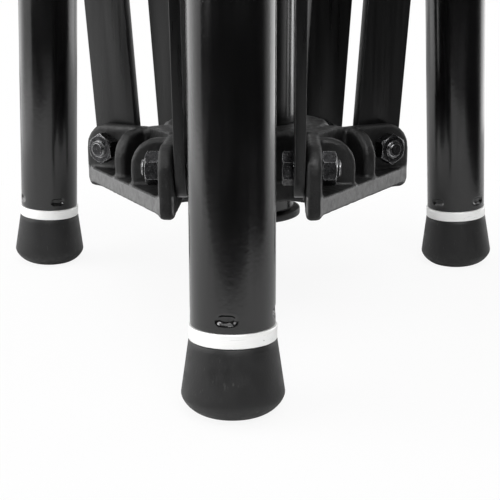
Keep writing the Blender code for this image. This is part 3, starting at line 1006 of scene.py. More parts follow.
def grown(
    mesh: bpy.types.Mesh, tree: bpy.types.NodeTree, values: dict[str, object], finish: Finish
) -> bpy.types.Mesh:
    """Run a tree on a mesh.

    Args:
        mesh: The mesh that goes in.
        tree: The tree.
        values: Values by input name.
        finish: Finish of the result.

    Returns:
        The result as a plain mesh.
    """
    obj = add_object("grown", mesh)
    change = obj.modifiers.new("grow", "NODES")
    change.node_group = tree
    for item in tree.interface.items_tree:
        if item.in_out == "INPUT" and item.name in values:
            change[item.identifier] = values[item.name]
        if item.in_out == "INPUT" and item.name == "Material":
            change[item.identifier] = finish.material()
    return evaluated(obj)


def crimp_tree() -> bpy.types.NodeTree:
    """Build the tree that presses a row of dimples into a tube about Z.

    Returns:
        The tree.
    """
    names = ["Count", "Turn", "Radius", "Height", "Half Width", "Half Height"]
    names += ["Depth", "Squareness", "Flat Share"]
    build = GeometryTree("crimped_tube", {name: "NodeSocketFloat" for name in names})
    given = build.given
    place = build.add("GeometryNodeInputPosition").outputs[0]
    split = build.feed(build.add("ShaderNodeSeparateXYZ"), _0=place)
    angle = build.math("ARCTAN2", split.outputs[1], split.outputs[0])
    half = build.math("DIVIDE", math.pi, given["Count"])
    turned = build.math("SUBTRACT", angle, given["Turn"])
    wrapped = build.math("WRAP", turned, half, build.math("MULTIPLY", half, -1.0))
    across = build.math("DIVIDE", build.math("MULTIPLY", wrapped, given["Radius"]), given["Half Width"])
    rise = build.math("SUBTRACT", split.outputs[2], given["Height"])
    along = build.math("DIVIDE", rise, given["Half Height"])
    wide = build.math("POWER", build.math("ABSOLUTE", across), given["Squareness"])
    away = build.math("SQRT", build.math("ADD", wide, build.math("MULTIPLY", along, along)))
    pressed = build.add("ShaderNodeMapRange", interpolation_type="SMOOTHSTEP")
    build.feed(pressed, Value=away, From_Min=given["Flat Share"], To_Min=1.0, To_Max=0.0)
    inwards = build.math("MULTIPLY", given["Depth"], -1.0)
    depth = build.math("MULTIPLY", pressed.outputs["Result"], inwards)
    flat = build.feed(build.add("ShaderNodeCombineXYZ"), _0=split.outputs[0], _1=split.outputs[1])
    outward = build.feed(build.add("ShaderNodeVectorMath", operation="NORMALIZE"), _0=flat.outputs[0])
    inward = build.feed(build.add("ShaderNodeVectorMath", operation="SCALE"), _0=outward.outputs[0])
    build.feed(inward, Scale=depth)
    moved = build.feed(build.add("GeometryNodeSetPosition"), Geometry=given["Geometry"])
    build.feed(moved, Offset=inward.outputs[0])
    return build.close(moved.outputs[0])


def thread_tree() -> bpy.types.NodeTree:
    """Build the tree that winds a screw thread round a shank along Z.

    Returns:
        The tree.
    """
    steps_per_turn = 28
    ridge_sides = 4
    names = {name: "NodeSocketFloat" for name in ("Radius", "Ridge", "Turns", "Rise")}
    build = GeometryTree("screw_thread", {**names, "Start": "NodeSocketVector"})
    given = build.given
    coil = build.feed(build.add("GeometryNodeCurveSpiral"), Resolution=steps_per_turn)
    build.feed(coil, Rotations=given["Turns"], Height=given["Rise"])
    build.feed(coil, Start_Radius=given["Radius"], End_Radius=given["Radius"])
    section = build.feed(build.add("GeometryNodeCurvePrimitiveCircle"), Resolution=ridge_sides)
    build.feed(section, Radius=given["Ridge"])
    sweep = build.feed(build.add("GeometryNodeCurveToMesh"), Curve=coil.outputs[0])
    build.feed(sweep, Profile_Curve=section.outputs[0], Fill_Caps=True)
    moved = build.feed(build.add("GeometryNodeTransform"), Geometry=sweep.outputs[0])
    build.feed(moved, Translation=given["Start"])
    both = build.add("GeometryNodeJoinGeometry")
    build.feed(both, Geometry=moved.outputs[0])
    build.feed(both, Geometry=given["Geometry"])
    return build.close(both.outputs[0])


def spread_tree() -> bpy.types.NodeTree:
    """Build the tree that sets a copy of an object on each point, turned to the point's own axis.

    Returns:
        The tree.
    """
    build = GeometryTree("spread_along_axes", {"Copy": "NodeSocketObject"})
    copy = build.feed(build.add("GeometryNodeObjectInfo"), Object=build.given["Copy"])
    axis = build.feed(build.add("GeometryNodeInputNamedAttribute", data_type="FLOAT_VECTOR"), Name="axis")
    turn = build.feed(build.add("FunctionNodeAlignRotationToVector", axis="Z"), Vector=axis.outputs[0])
    spread = build.feed(build.add("GeometryNodeInstanceOnPoints"), Points=build.given["Geometry"])
    build.feed(spread, Instance=copy.outputs["Geometry"], Rotation=turn.outputs[0])
    return build.close(spread.outputs[0])


class Trees:
    """The Geometry Nodes trees, built once."""

    crimp: bpy.types.NodeTree = crimp_tree()
    thread: bpy.types.NodeTree = thread_tree()
    spread: bpy.types.NodeTree = spread_tree()


@dataclass(frozen=True)
class Thread:
    """A screw thread of bolts and studs."""

    radius: float = 0.0050
    root: float = 0.0043
    pitch: float = 0.0015
    steps: int = 40

    def wound(self, shank: Profile, start: float, rise: float) -> bpy.types.Mesh:
        """Wind the thread round a shank along Z.

        Args:
            shank: Profile of the shank.
            start: Height at which the thread begins.
            rise: Height over which it winds.

        Returns:
            The threaded shank.
        """
        values = {"Radius": self.root, "Ridge": self.radius - self.root}
        values |= {"Turns": rise / self.pitch, "Rise": rise, "Start": (0.0, 0.0, start)}
        return grown(Turned(shank, self.steps).mesh(), Trees.thread, values, ZINC)


@dataclass
class Fastener:
    """A hex bolt with its nut, along Z from mid-head."""

    grip: float
    flats: float = 0.0165
    head: float = 0.0064
    nut: float = 0.0080
    tail: float = 0.0025
    point: float = 0.0006
    point_share: float = 0.82
    runout: float = 0.0004
    bore_gap: float = 0.0003
    seat_edge: float = 0.0002
    face_share: float = 0.965
    cone: float = math.radians(30.0)
    steps: int = 72
    thread: Thread = Thread()

    @classmethod
    def clamping(cls, width: float) -> "Fastener":
        """Make the fastener whose nut closes on a width, measured from under its head."""
        return cls(width + cls.nut + cls.tail)

    def hexagon(self, low: float, high: float, bore: float, both: bool) -> bpy.types.Mesh:
        """Build a hexagon whose corners are turned off to a cone.

        Args:
            low: Height of its lower face.
            high: Height of its upper face.
            bore: Radius of its hole, or zero for none.
            both: Whether the lower corners are turned off too.

        Returns:
            The closed mesh.
        """
        flat = self.flats / 2
        face = flat * self.face_share
        shape = bmesh.new()
        rings = []
        for kind in ("hole low", "face low", "side low", "side high", "face high", "hole high"):
            ring = []
            for step in range(self.steps):
                angle = 2 * math.pi * step / self.steps
                sector = (angle + math.pi / 6) % (math.pi / 3) - math.pi / 6
                corner = flat / math.cos(math.pi / 6 - abs(sector))
                drop = (corner - face) * math.tan(self.cone)
                spots = {
                    "hole low": (bore, low),
                    "face low": (face, low) if both else (corner - self.seat_edge / 2, low),
                    "side low": (corner, low + (drop if both else self.seat_edge)),
                    "side high": (corner, high - drop),
                    "face high": (face, high),
                    "hole high": (bore, high),
                }
                radius, height = spots[kind]
                ring.append(shape.verts.new((radius * math.cos(angle), radius * math.sin(angle), height)))
            rings.append(ring)
        for first, second in zip(rings, rings[1:] + rings[:1]):
            if bore == 0.0 and first is rings[-1]:
                continue
            for step in range(self.steps):
                after = (step + 1) % self.steps
                shape.faces.new((first[step], first[after], second[after], second[step]))
        mesh = bpy.data.meshes.new("hexagon")
        shape.to_mesh(mesh)
        shape.free()
        return weld(mesh)

    def mesh(self) -> bpy.types.Mesh:
        """Build the bolt with its threaded end, and its nut.

        Returns:
            One mesh of both.
        """
        root, radius = self.thread.root, self.thread.radius
        end = self.head / 2 + self.grip
        face = end - self.tail
        hidden = face - self.nut / 2
        shank = [(0.0, end), (root * self.point_share, end), (root, end - self.point), (root, hidden)]
        shank += [(radius, hidden - self.runout), (radius, 0.0), (0.0, 0.0)]
        threaded = self.thread.wound(shank, face - 2 * self.runout, self.tail + self.runout)
        head = self.hexagon(-self.head / 2, self.head / 2, 0.0, False)
        head.transform(Matrix.Rotation(math.pi, 4, "X"))
        nut = self.hexagon(face - self.nut, face, radius + self.bore_gap, True)
        return joined([threaded, head, nut])

    def spread(self, name: str, body: str, spots: list[Matrix], nodes: list[str]) -> bpy.types.Object:
        """Set the fastener on every place of one body.

        Args:
            name: Name of the piece.
            body: The body that carries the fasteners.
            spots: Frames with the origin mid-head and Z along the shank.
            nodes: The model's nodes that the piece replaces.

        Returns:
            The piece.
        """
        copy = add_object("fastener", self.mesh())
        points = bpy.data.meshes.new("spots")
        points.from_pydata([spot.translation for spot in spots], [], [])
        axes = points.attributes.new("axis", "FLOAT_VECTOR", "POINT")
        for slot, spot in zip(axes.data, spots):
            slot.vector = spot.to_3x3() @ Vector((0.0, 0.0, 1.0))
        mesh = grown(points, Trees.spread, {"Copy": copy}, ZINC)
        bpy.data.objects.remove(copy, do_unlink=True)
        return settle(name, mesh, body, ZINC, nodes, Crease.THREADED)


@dataclass
class Casting:
    """A casting made from its solid: edges and inner corners rounded as a mould leaves them."""

    node: str
    body: str
    finish: Finish
    voxel: float = 0.0010
    smooth: int = 5
    smooth_share: float = 0.5
    rough: float = 0.00018
    rough_scale: float = 240.0

    def lumps(self, place: Vector) -> float:
        """Height of the cast skin at a place."""
        return self.rough * noise.noise(place * self.rough_scale)

    def build(self) -> bpy.types.Object:
        """Remesh, smooth and roughen a copy of the solid.

        Returns:
            The piece.
        """
        copy = add_object("casting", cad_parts[self.node].data.copy())
        weld(copy.data)
        skin = copy.modifiers.new("skin", "REMESH")
        skin.mode = "VOXEL"
        skin.voxel_size = self.voxel
        soft = copy.modifiers.new("soft", "SMOOTH")
        soft.factor = self.smooth_share
        soft.iterations = self.smooth
        mesh = evaluated(copy)
        shell = bmesh.new()
        shell.from_mesh(mesh)
        shell.normal_update()
        moves = [(vert, vert.normal * self.lumps(vert.co)) for vert in shell.verts]
        for vert, move in moves:
            vert.co += move
        shell.to_mesh(mesh)
        shell.free()
        return settle(f"{self.node}_cast", mesh, self.body, self.finish, [self.node], Crease.CAST)


@dataclass
class HubCasting(Casting):
    """The brace hub, with the rough gate marks left on its boss's upper edge."""

    boss_top: float = 0.1138
    boss_inner: float = 0.0335
    gate: float = 0.0010
    gate_scale: float = 130.0

    def lumps(self, place: Vector) -> float:
        """Find the height of the cast skin, with heavier lumps on the boss's top.

        Args:
            place: A place on the casting.

        Returns:
            The height of the skin there.
        """
        skin = super().lumps(place)
        across = (place - LINKAGE.axis().translation).to_2d().length
        if place.z > self.boss_top and across > self.boss_inner:
            skin += self.gate * min(0.0, noise.noise(place * self.gate_scale))
        return skin


@dataclass
class AxisPiece:
    """A piece turned about the column's axis, with its corners rounded."""

    name: str
    body: str
    node: str
    finish: Finish
    profile: Profile
    edge: float
    closed: bool = True
    steps: int = 128

    def build(self) -> bpy.types.Object:
        """Turn the piece and set it on its body.

        Returns:
            The piece.
        """
        mesh = Turned(filleted(self.profile, self.edge, self.closed), self.steps, self.closed).mesh()
        mesh.transform(LINKAGE.axis())
        return settle(self.name, mesh, self.body, self.finish, [self.node])


@dataclass
class LegTube:
    """A leg's tube, crimped onto its foot's insert."""

    radius: float = 0.0200
    wall: float = 0.0020
    low: float = 0.0427
    high: float = 0.0323
    edge: float = 0.0004
    edge_share: float = 0.3
    steps: int = 240
    rows: int = 36
    row_start: float = 0.0006
    row_step: float = 0.0004
    dimples: int = 4
    dimple_above: float = 0.0062
    dimple_width: float = 0.0108
    dimple_height: float = 0.0060
    dimple_depth: float = 0.0014
    dimple_squareness: float = 4.0
    dimple_flat: float = 0.35
    turns: dict[Leg, float] = field(
        default_factory=lambda: {Leg.FRONT: -5.5, Leg.RIGHT: 12.0, Leg.LEFT: 61.0}
    )

    def build(self, leg: Leg) -> bpy.types.Object:
        """Turn the tube, press its dimples and set it on its leg.

        Args:
            leg: The leg.

        Returns:
            The piece.
        """
        top = LINKAGE.below + LINKAGE.brace - self.high
        bore = self.radius - self.wall
        rows = [self.low + self.row_start + self.row_step * row for row in range(self.rows)]
        soft = self.edge_share * self.edge
        profile = [(bore, top), (bore, self.low), (self.radius - self.edge, self.low)]
        profile += [(self.radius - soft, self.low + soft)] + [(self.radius, height) for height in rows]
        profile += [(self.radius, top - self.edge), (self.radius - self.edge, top)]
        values = {
            "Count": float(self.dimples),
            "Turn": math.radians(self.turns[leg]),
            "Radius": self.radius,
            "Height": self.low + self.dimple_above,
            "Half Width": self.dimple_width / 2,
            "Half Height": self.dimple_height / 2,
            "Depth": self.dimple_depth,
            "Squareness": self.dimple_squareness,
            "Flat Share": self.dimple_flat,
        }
        mesh = grown(Turned(profile, self.steps, True).mesh(), Trees.crimp, values, PAINT)
        mesh.transform(LINKAGE.leg(leg))
        return settle(f"leg_{leg.label}_tube", mesh, f"leg_{leg.label}", PAINT, [f"leg_tube_{leg.label}"])


@dataclass
class Foot:
    """A leg's bright insert and its rubber foot, measured up the leg from the floor.

    The rubber widens straight from the ring to the bulge and closes round a shoulder to the sole. The
    shoulder is a quarter of an ellipse where flatness is one, and flatter where it is more.
    """

    ring_top: float = 0.0424
    ring_low: float = 0.0357
    ring_radius: float = 0.0208
    plug_radius: float = 0.0177
    plug_top: float = 0.0724
    stem_radius: float = 0.0140
    stem_end: float = 0.0145
    gap: float = 0.0003
    edge: float = 0.0006
    lip_in: float = 0.0004
    lip_out: float = 0.0001
    bulge_radius: float = 0.0246
    bulge: float = 0.0092
    sole_radius: float = 0.0155
    sole: float = 0.0006
    flatness: float = 1.3
    groove_outer: float = 0.0130
    groove_inner: float = 0.0094
    groove_depth: float = 0.0009
    flank_steps: int = 8
    shoulder_steps: int = 16

    def insert(self, leg: Leg) -> bpy.types.Object:
        """Turn the insert and set it on its leg.

        Args:
            leg: The leg.

        Returns:
            The piece.
        """
        ring = [(self.plug_radius, self.ring_top), (self.ring_radius, self.ring_top)]
        ring += [(self.ring_radius, self.ring_low), (self.stem_radius, self.ring_low)]
        profile = [(0.0, self.plug_top), (self.plug_radius, self.plug_top)] + ring
        profile += [(self.stem_radius, self.stem_end), (0.0, self.stem_end)]
        mesh = Turned(filleted(profile, self.edge, False)).mesh()
        mesh.transform(LINKAGE.leg(leg))
        body = f"leg_{leg.label}"
        return settle(f"{body}_insert", mesh, body, BRIGHT, [f"foot_insert_{leg.label}"])

    def outside(self, top: float, sole: float) -> Profile:
        """Draw the rubber's outside.

        Args:
            top: Height of its upper rim.
            sole: Height of its sole.

        Returns:
            The profile from the rim to the middle of the sole.
        """
        profile = [(self.ring_radius - self.lip_in, top)]
        profile += [(self.ring_radius + self.lip_out, top - self.edge)]
        for step in range(1, self.flank_steps + 1):
            share = step / self.flank_steps
            radius = self.ring_radius + (self.bulge_radius - self.ring_radius) * share
            profile.append((radius, top + (self.bulge + self.edge - top) * share))
        for step in range(1, self.shoulder_steps + 1):
            angle = math.radians(90.0 * step / self.shoulder_steps)
            out = (self.bulge_radius - self.sole_radius) * math.cos(angle) ** self.flatness
            down = (self.bulge - sole) * math.sin(angle) ** self.flatness
            profile.append((self.sole_radius + out, self.bulge - down))
        roof = sole + self.groove_depth
        profile += [(self.groove_outer, sole), (self.groove_outer - self.edge, roof)]
        profile += [(self.groove_inner + self.edge, roof), (self.groove_inner, sole)]
        return profile + [(0.0, sole)]

    def rubber(self, leg: Leg) -> bpy.types.Object:
        """Turn the foot with its round shoulder, and flatten it on the floor.

        Args:
            leg: The leg.

        Returns:
            The piece.
        """
        top = self.ring_low - self.gap
        socket = self.stem_radius + self.gap
        floor = self.stem_end - self.gap
        sole = self.sole_radius * math.tan(LINKAGE.fold) - self.sole
        inside = [(0.0, floor), (socket, floor), (socket, top)]
        mesh = Turned(inside + self.outside(top, sole)).mesh()
        mesh.transform(LINKAGE.leg(leg))
        for vert in mesh.vertices:
            vert.co.z = max(vert.co.z, 0.0)
        body = f"leg_{leg.label}"
        return settle(f"{body}_foot", mesh, body, RUBBER, [f"rubber_foot_{leg.label}"], Crease.MOULDED)


@dataclass
class BracePair:
    """Two flat bars from a hub pivot to a knee."""

    width: float = 0.0320
    thickness: float = 0.0060
    spacing: float = 0.0584
    hole: float = 0.0053
    edge: float = 0.0006
    end_steps: int = 28
    hole_steps: int = 24

    def build(self, leg: Leg) -> None:
        """Cut both bars and set them on their brace.

        Args:
            leg: The leg that the brace holds.
        """
        half = self.width / 2
        low, high = (0.0, 0.0), (0.0, LINKAGE.brace)
        outline = arc(low, half, 180.0, 360.0, self.end_steps) + arc(high, half, 0.0, 180.0, self.end_steps)
        holes = [arc(centre, self.hole, 0.0, 360.0, self.hole_steps)[:-1] for centre in (low, high)]
        for side in Side:
            mesh = Cutout([outline] + holes, self.thickness, self.edge).mesh()
            middle = side.value * (self.spacing + self.thickness) / 2
            upright = Matrix.Rotation(math.pi / 2, 4, "X")
            mesh.transform(LINKAGE.bar(leg) @ Matrix.Translation((0.0, middle, 0.0)) @ upright)
            node = f"brace_bar_{leg.label}_{side.label}"
            settle(f"{node}_fine", mesh, f"brace_{leg.label}", BAR, [node])


@dataclass
class LegAssembly:
    """One leg: tube, insert, foot, brace sleeve, top and knee bolt."""

    leg: Leg
    tube: LegTube = field(default_factory=LegTube)
    foot: Foot = field(default_factory=Foot)
    bar_out: float = 0.0352
    gap: float = 0.0003

    def build(self) -> None:
        """Build every piece of the leg."""
        name = self.leg.label
        body = f"leg_{name}"
        self.tube.build(self.leg)
        self.foot.insert(self.leg)
        self.foot.rubber(self.leg)
        for part in ("brace_sleeve", "leg_top"):
            Casting(f"{part}_{name}", body, ALLOY).build()
        bolt = Fastener.clamping(2 * (self.bar_out + self.gap))
        knee = LINKAGE.leg(self.leg) @ Matrix.Translation((0.0, 0.0, LINKAGE.below))
        head = Matrix.Translation((0.0, self.bar_out + self.gap + bolt.head / 2, 0.0))
        spot = knee @ head @ Matrix.Rotation(math.pi / 2, 4, "X")
        bolt.spread(f"knee_{name}_fastener", body, [spot], [f"knee_bolt_{name}", f"knee_nut_{name}"])


@dataclass
class ColumnAssembly:
    """Column tube, end cap, cast hub with its bolts, and the mast clamp with its bush."""

    radius: float = 0.0300
    wall: float = 0.0025
    low: float = 0.0608
    high: float = 1.529767
    edge: float = 0.0004
    gap: float = 0.0003
    cap_lip: float = 0.0040
    cap_flange: float = 0.0045
    cap_plug: float = 0.0180
    cap_edge: float = 0.0011
    bar_in: float = 0.0292
    lug_out: float = 0.0441
    hub_smooth: int = 2
    mast_radius: float = 0.0250
    bush_depth: float = 0.0450
    bush_flange: float = 0.0040
    bush_edge: float = 0.0006

    def bolts(self) -> None:
        """Set the six hub bolts with their nuts."""
        bolt = Fastener.clamping(self.lug_out + 2 * self.gap - self.bar_in)
        spots = []
        nodes = []
        for leg in Leg:
            for side in Side:
                head = side.value * (self.bar_in - self.gap - bolt.head / 2)
                spot = Matrix.Translation((LINKAGE.pivot_radius, head, LINKAGE.hub_height))
                turn = Matrix.Rotation(-side.value * math.pi / 2, 4, "X")
                spots.append(LINKAGE.sector(leg) @ spot @ turn)
                nodes += [f"hub_{kind}_{leg.label}_{side.label}" for kind in ("bolt", "nut")]
        bolt.spread("hub_fasteners", "column", spots, nodes)

    def build(self) -> None:
        """Build every piece of the column."""
        bore = self.radius - self.wall
        tube = hollow(bore, self.radius, self.low, self.high)
        AxisPiece("column_wall", "column", "column_tube", PAINT, tube, self.edge).build()
        seat = self.low - self.gap
        plug = bore - self.gap
        flange = self.radius + self.cap_lip
        cap = [(0.0, seat + self.cap_plug), (plug, seat + self.cap_plug), (plug, seat), (flange, seat)]
        cap += [(flange, seat - self.cap_flange), (0.0, seat - self.cap_flange)]
        AxisPiece("column_cap", "column", "column_end_cap", PLASTIC, cap, self.cap_edge, False).build()
        HubCasting("brace_hub", "column", IRON, smooth=self.hub_smooth).build()
        self.bolts()
        Casting("mast_clamp", "column", ALLOY).build()
        inner = self.mast_radius + self.gap
        top = self.high + self.gap
        bush = [(inner, self.high - self.bush_depth), (inner, top + self.bush_flange)]
        bush += [(self.radius, top + self.bush_flange), (self.radius, top), (plug, top)]
        bush += [(plug, self.high - self.bush_depth)]
        AxisPiece("column_bush", "column", "mast_bush", NYLON, bush, self.bush_edge).build()


@dataclass
class StarKnob:
    """A star knob on its stud, turning on an axis towards the rear."""

    name: str
    start: float
    tip: float
    height: float
    diameter: float = 0.0480
    thickness: float = 0.0200
    edge: float = 0.0034
    edge_steps: int = 5
    lobe: float = 0.0030
    lobes: int = 5
    lobe_steps: int = 36
    gap: float = 0.0060
    seat: float = 0.0130
    seat_gap: float = 0.0003
    point: float = 0.0010
    point_share: float = 0.8
    runout: float = 0.0015
    thread: Thread = Thread()

    def outline(self) -> Profile:
        """Draw the lobed outline of the grip.

        Returns:
            The outline about the knob's axis.
        """
        points = []
        steps = self.lobes * self.lobe_steps
        for step in range(steps):
            angle = 2 * math.pi * step / steps
            radius = self.diameter / 2 - self.lobe + self.lobe * math.cos(self.lobes * angle)
            points.append((radius * math.cos(angle), radius * math.sin(angle)))
        return points

    def build(self) -> None:
        """Build the grip and its threaded stud."""
        axis = LINKAGE.axis() @ Matrix.Translation((0.0, self.start, self.height))
        axis = axis @ Matrix.Rotation(-math.pi / 2, 4, "X")
        grip = Cutout([self.outline()], self.thickness, self.edge, self.edge_steps).mesh()
        grip.transform(axis @ Matrix.Translation((0.0, 0.0, self.gap + self.thickness / 2)))
        settle(f"{self.name}_star", grip, self.name, PLASTIC, [f"{self.name}_grip"], Crease.MOULDED)
        root = self.thread.root
        high = self.gap + self.seat - self.seat_gap
        low = self.tip - self.start
        shank = [(0.0, high), (root, high), (root, low + self.point)]
        shank += [(root * self.point_share, low), (0.0, low)]
        mesh = self.thread.wound(shank, low + self.runout, high - low - 2 * self.runout)
        mesh.transform(axis)
        settle(f"{self.name}_screw", mesh, self.name, ZINC, [f"{self.name}_stud"], Crease.THREADED)


@dataclass
class CollarAssembly:
    """Sliding collar with its liner, pivot bolts and clamping knob."""

    bore: float = 0.0336
    radius: float = 0.0436
    column: float = 0.0300
    drop: float = 0.0180
    rise: float = 0.0420
    voxel: float = 0.0011
    liner_edge: float = 0.0005
    lug_out: float = 0.0173
    knob_rise: float = 0.0260
    boss: float = 0.0150
    gap: float = 0.0003

    def build(self) -> None:
        """Build every piece of the collar."""
        centre = LINKAGE.collar_height
        inner = self.column + self.gap
        Casting("leg_collar", "collar", ALLOY, self.voxel).build()
        liner = hollow(inner, self.bore - self.gap, centre - self.drop, centre + self.rise)
        AxisPiece("collar_sleeve", "collar", "collar_liner", NYLON, liner, self.liner_edge).build()
        bolt = Fastener.clamping(2 * (self.lug_out + self.gap))
        spots = []
        nodes = []
        for leg in Leg:
            head = (LINKAGE.pivot_radius, self.lug_out + self.gap + bolt.head / 2, centre)
            turn = Matrix.Rotation(math.pi / 2, 4, "X")
            spots.append(LINKAGE.sector(leg) @ Matrix.Translation(head) @ turn)
            nodes += [f"collar_{kind}_{leg.label}" for kind in ("bolt", "nut")]
        bolt.spread("collar_fasteners", "collar", spots, nodes)
        StarKnob("collar_knob", self.radius + self.boss, inner, centre + self.knob_rise).build()


@dataclass
class MastAssembly:
    """Mast tube with its guide, the spigot on its top and the clamping knob."""

    radius: float = 0.0250
    wall: float = 0.0025
    low: float = 0.1380
    high: float = 1.563767
    edge: float = 0.0004
    gap: float = 0.0003
    spigot: float = 0.0175
    spigot_length: float = 0.0750
    spigot_edge: float = 0.0005
    neck_high: float = 0.0300
    neck_low: float = 0.0420
    neck_depth: float = 0.0012
    flange: float = 0.0080
    chamfer: float = 0.0020
    plug_depth: float = 0.0400
    clamp_radius: float = 0.0393
    boss: float = 0.0150
    knob_height: float = 1.501767

    def pin(self) -> Profile:
        """Draw the spigot with its neck, flange and plug.

        Returns:
            The profile, down from the middle of its top.
        """
        base = self.high + self.gap
        step = base + self.flange
        top = step + self.spigot_length
        plug = self.radius - self.wall - self.gap
        waist = self.spigot - self.neck_depth
        profile = [(0.0, top), (self.spigot - self.chamfer, top), (self.spigot, top - self.chamfer)]
        profile += [(self.spigot, top - self.neck_high), (waist, top - self.neck_high - self.neck_depth)]
        profile += [(waist, top - self.neck_low + self.neck_depth), (self.spigot, top - self.neck_low)]
        profile += [(self.spigot, step), (self.radius, step), (self.radius, base), (plug, base)]
        return profile + [(plug, base - self.plug_depth), (0.0, base - self.plug_depth)]

    def build(self) -> None:
        """Build every piece of the mast and the knob that holds it."""
        tube = hollow(self.radius - self.wall, self.radius, self.low, self.high)
        AxisPiece("mast_wall", "mast", "mast_tube", PAINT, tube, self.edge).build()
        AxisPiece("mast_pin", "mast", "mast_spigot", ZINC, self.pin(), self.spigot_edge, False).build()
        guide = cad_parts["mast_guide"]
        guide.data.materials.clear()
        guide.data.materials.append(NYLON.material())
        start = self.clamp_radius + self.boss
        StarKnob("mast_knob", start, self.radius + self.gap, self.knob_height).build()


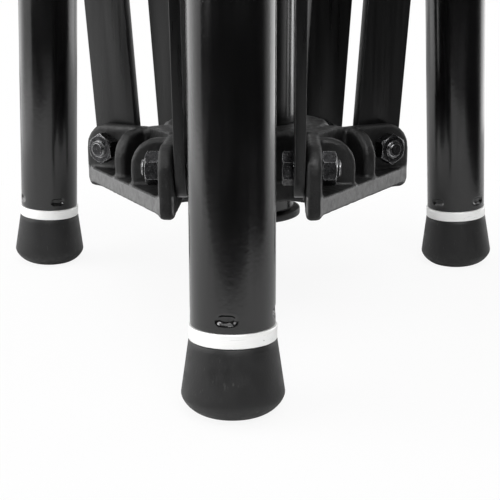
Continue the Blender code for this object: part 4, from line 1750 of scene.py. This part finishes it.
@dataclass(frozen=True)
class Lamp:
    """A soft lamp: its name, where it hangs, what it points at, its width and height, and its watts."""

    name: str
    place: Place
    target: Place
    size: tuple[float, float]
    power: float

    def build(self) -> None:
        """Hang the lamp."""
        light = bpy.data.lights.new(self.name, "AREA")
        light.shape = "RECTANGLE"
        light.size, light.size_y = self.size
        light.energy = self.power
        obj = add_object(self.name, light)
        obj.location = self.place
        aim = Vector(self.target) - Vector(self.place)
        obj.rotation_euler = aim.to_track_quat("-Z", "Y").to_euler()
        obj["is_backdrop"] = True


@dataclass
class Studio:
    """Pale floor, white surroundings and soft lamps."""

    left: float = -1.7
    right: float = 0.46
    front: float = -0.52
    back: float = 2.2
    level: float = -0.0002
    albedo: float = 0.68
    roughness: float = 0.9
    shadow_reach: Range = (0.18, 0.50)
    white_share: Range = (0.90, 1.0)
    fill: float = 0.30
    front_to_back: Range = (-0.05, 0.50)
    reflected: Range = (0.03, 1.0)
    lamps: tuple[Lamp, ...] = (
        Lamp("left_window", (-1.9, -0.5, 1.3), (0.0, 0.0, 0.2), (2.0, 1.6), 34.0),
        Lamp("left_strip", (-0.66, 0.20, 0.32), (0.0, 0.20, 0.32), (0.9, 0.62), 1.5),
        Lamp("right_strip", (0.74, 0.62, 0.32), (0.0, 0.05, 0.32), (0.62, 0.62), 1.6),
        Lamp("front_soft", (0.35, -1.7, 1.8), (0.0, 0.0, 0.05), (1.4, 1.0), 38.0),
        Lamp("overhead", (-0.2, -0.1, 2.9), (0.0, 0.0, 0.0), (1.8, 1.8), 24.0),
    )

    @staticmethod
    def ramp(tree: bpy.types.NodeTree, value: Socket, start: Range, end: Range) -> Socket:
        """Map one range of numbers smoothly to another.

        Args:
            tree: The node tree of the floor or the world.
            value: The number to map.
            start: Its range.
            end: The range to map to.

        Returns:
            The mapped number.
        """
        node = tree.nodes.new("ShaderNodeMapRange")
        node.interpolation_type = "SMOOTHSTEP"
        node.inputs["From Min"].default_value, node.inputs["From Max"].default_value = start
        node.inputs["To Min"].default_value, node.inputs["To Max"].default_value = end
        tree.links.new(value, node.inputs["Value"])
        return node.outputs["Result"]

    def floor(self) -> None:
        """Lay the floor: white to the camera, with the stand's shadow kept, and as lit in reflections."""
        mesh = bpy.data.meshes.new("floor")
        near = [(self.left, self.front, self.level), (self.right, self.front, self.level)]
        far = [(self.right, self.back, self.level), (self.left, self.back, self.level)]
        mesh.from_pydata(near + far, [], [(0, 1, 2, 3)])
        material = bpy.data.materials.new("pale_floor")
        material.use_nodes = True
        tree = material.node_tree
        matte = tree.nodes["Principled BSDF"]
        matte.inputs["Base Color"].default_value = (self.albedo, self.albedo, self.albedo, 1.0)
        matte.inputs["Roughness"].default_value = self.roughness
        matte.inputs["Specular IOR Level"].default_value = 0.0
        white = tree.nodes.new("ShaderNodeEmission")
        place = tree.nodes.new("ShaderNodeTexCoord")
        away = tree.nodes.new("ShaderNodeVectorMath")
        away.operation = "LENGTH"
        tree.links.new(place.outputs["Object"], away.inputs[0])
        fade = self.ramp(tree, away.outputs["Value"], self.shadow_reach, self.white_share)
        path = tree.nodes.new("ShaderNodeLightPath")
        share = tree.nodes.new("ShaderNodeMath")
        share.operation = "MULTIPLY"
        tree.links.new(fade, share.inputs[0])
        tree.links.new(path.outputs["Is Camera Ray"], share.inputs[1])
        mix = tree.nodes.new("ShaderNodeMixShader")
        tree.links.new(share.outputs[0], mix.inputs[0])
        tree.links.new(matte.outputs[0], mix.inputs[1])
        tree.links.new(white.outputs[0], mix.inputs[2])
        tree.links.new(mix.outputs[0], tree.nodes["Material Output"].inputs["Surface"])
        mesh.materials.append(material)
        add_object("floor", mesh)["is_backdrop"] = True

    def world(self) -> None:
        """Surround the scene: white to the camera, white behind and dim in front in reflections."""
        world = bpy.data.worlds.new("studio")
        world.use_nodes = True
        tree = world.node_tree
        sky = tree.nodes["Background"]
        way = tree.nodes.new("ShaderNodeTexCoord")
        split = tree.nodes.new("ShaderNodeSeparateXYZ")
        tree.links.new(way.outputs["Generated"], split.inputs[0])
        behind = self.ramp(tree, split.outputs["Y"], self.front_to_back, self.reflected)
        path = tree.nodes.new("ShaderNodeLightPath")
        strength = None
        for kind in ("Is Glossy Ray", "Is Transmission Ray", "Is Camera Ray"):
            node = tree.nodes.new("ShaderNodeMix")
            node.data_type = "FLOAT"
            tree.links.new(path.outputs[kind], node.inputs[0])
            if strength is None:
                node.inputs[2].default_value = self.fill
            else:
                tree.links.new(strength, node.inputs[2])
            if kind == "Is Camera Ray":
                node.inputs[3].default_value = 1.0
            else:
                tree.links.new(behind, node.inputs[3])
            strength = node.outputs[0]
        tree.links.new(strength, sky.inputs["Strength"])
        sky.inputs["Color"].default_value = (1.0, 1.0, 1.0, 1.0)
        bpy.context.scene.world = world

    def build(self) -> None:
        """Set up the whole studio."""
        self.floor()
        self.world()
        for lamp in self.lamps:
            lamp.build()
        bpy.context.scene.view_settings.view_transform = "Standard"


@dataclass
class PhotoCamera:
    """The camera of the photograph, from its focal length in pixels, pitch, roll, heading and place."""

    frame_pixels: float = 500.0
    focal_pixels: float = 936.94
    sensor: float = 36.0
    near: float = 0.01
    pitch: float = 0.2642
    roll: float = -0.0042
    heading: float = 0.0352
    place: Place = (0.002128, -0.584264, 0.189216)

    def build(self) -> None:
        """Add the camera and make it the scene's."""
        data = bpy.data.cameras.new("photo_camera")
        data.sensor_width = self.sensor
        data.lens = self.focal_pixels / self.frame_pixels * self.sensor
        data.clip_start = self.near
        obj = add_object("photo_camera", data)
        turn = Matrix.Rotation(self.heading, 4, "Z")
        tilt = Euler((math.pi / 2 - self.pitch, 0.0, 0.0)).to_matrix().to_4x4()
        roll = Matrix.Rotation(self.roll, 4, "Z")
        obj.matrix_world = LINKAGE.axis() @ turn @ Matrix.Translation(self.place) @ tilt @ roll
        bpy.context.scene.camera = obj


def corners() -> list[list[float]]:
    """Give the model's box as plain lists."""
    return [[float(value) for value in corner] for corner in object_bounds()]


def main() -> None:
    """Build the stand's pieces, the studio and the camera in order."""
    logging.basicConfig(level=logging.INFO, format="%(name)s: %(message)s")
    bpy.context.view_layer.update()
    ColumnAssembly().build()
    for leg in Leg:
        BracePair().build(leg)
        LegAssembly(leg).build()
    CollarAssembly().build()
    MastAssembly().build()
    Studio().build()
    PhotoCamera().build()


if __name__ == "__main__":
    main()
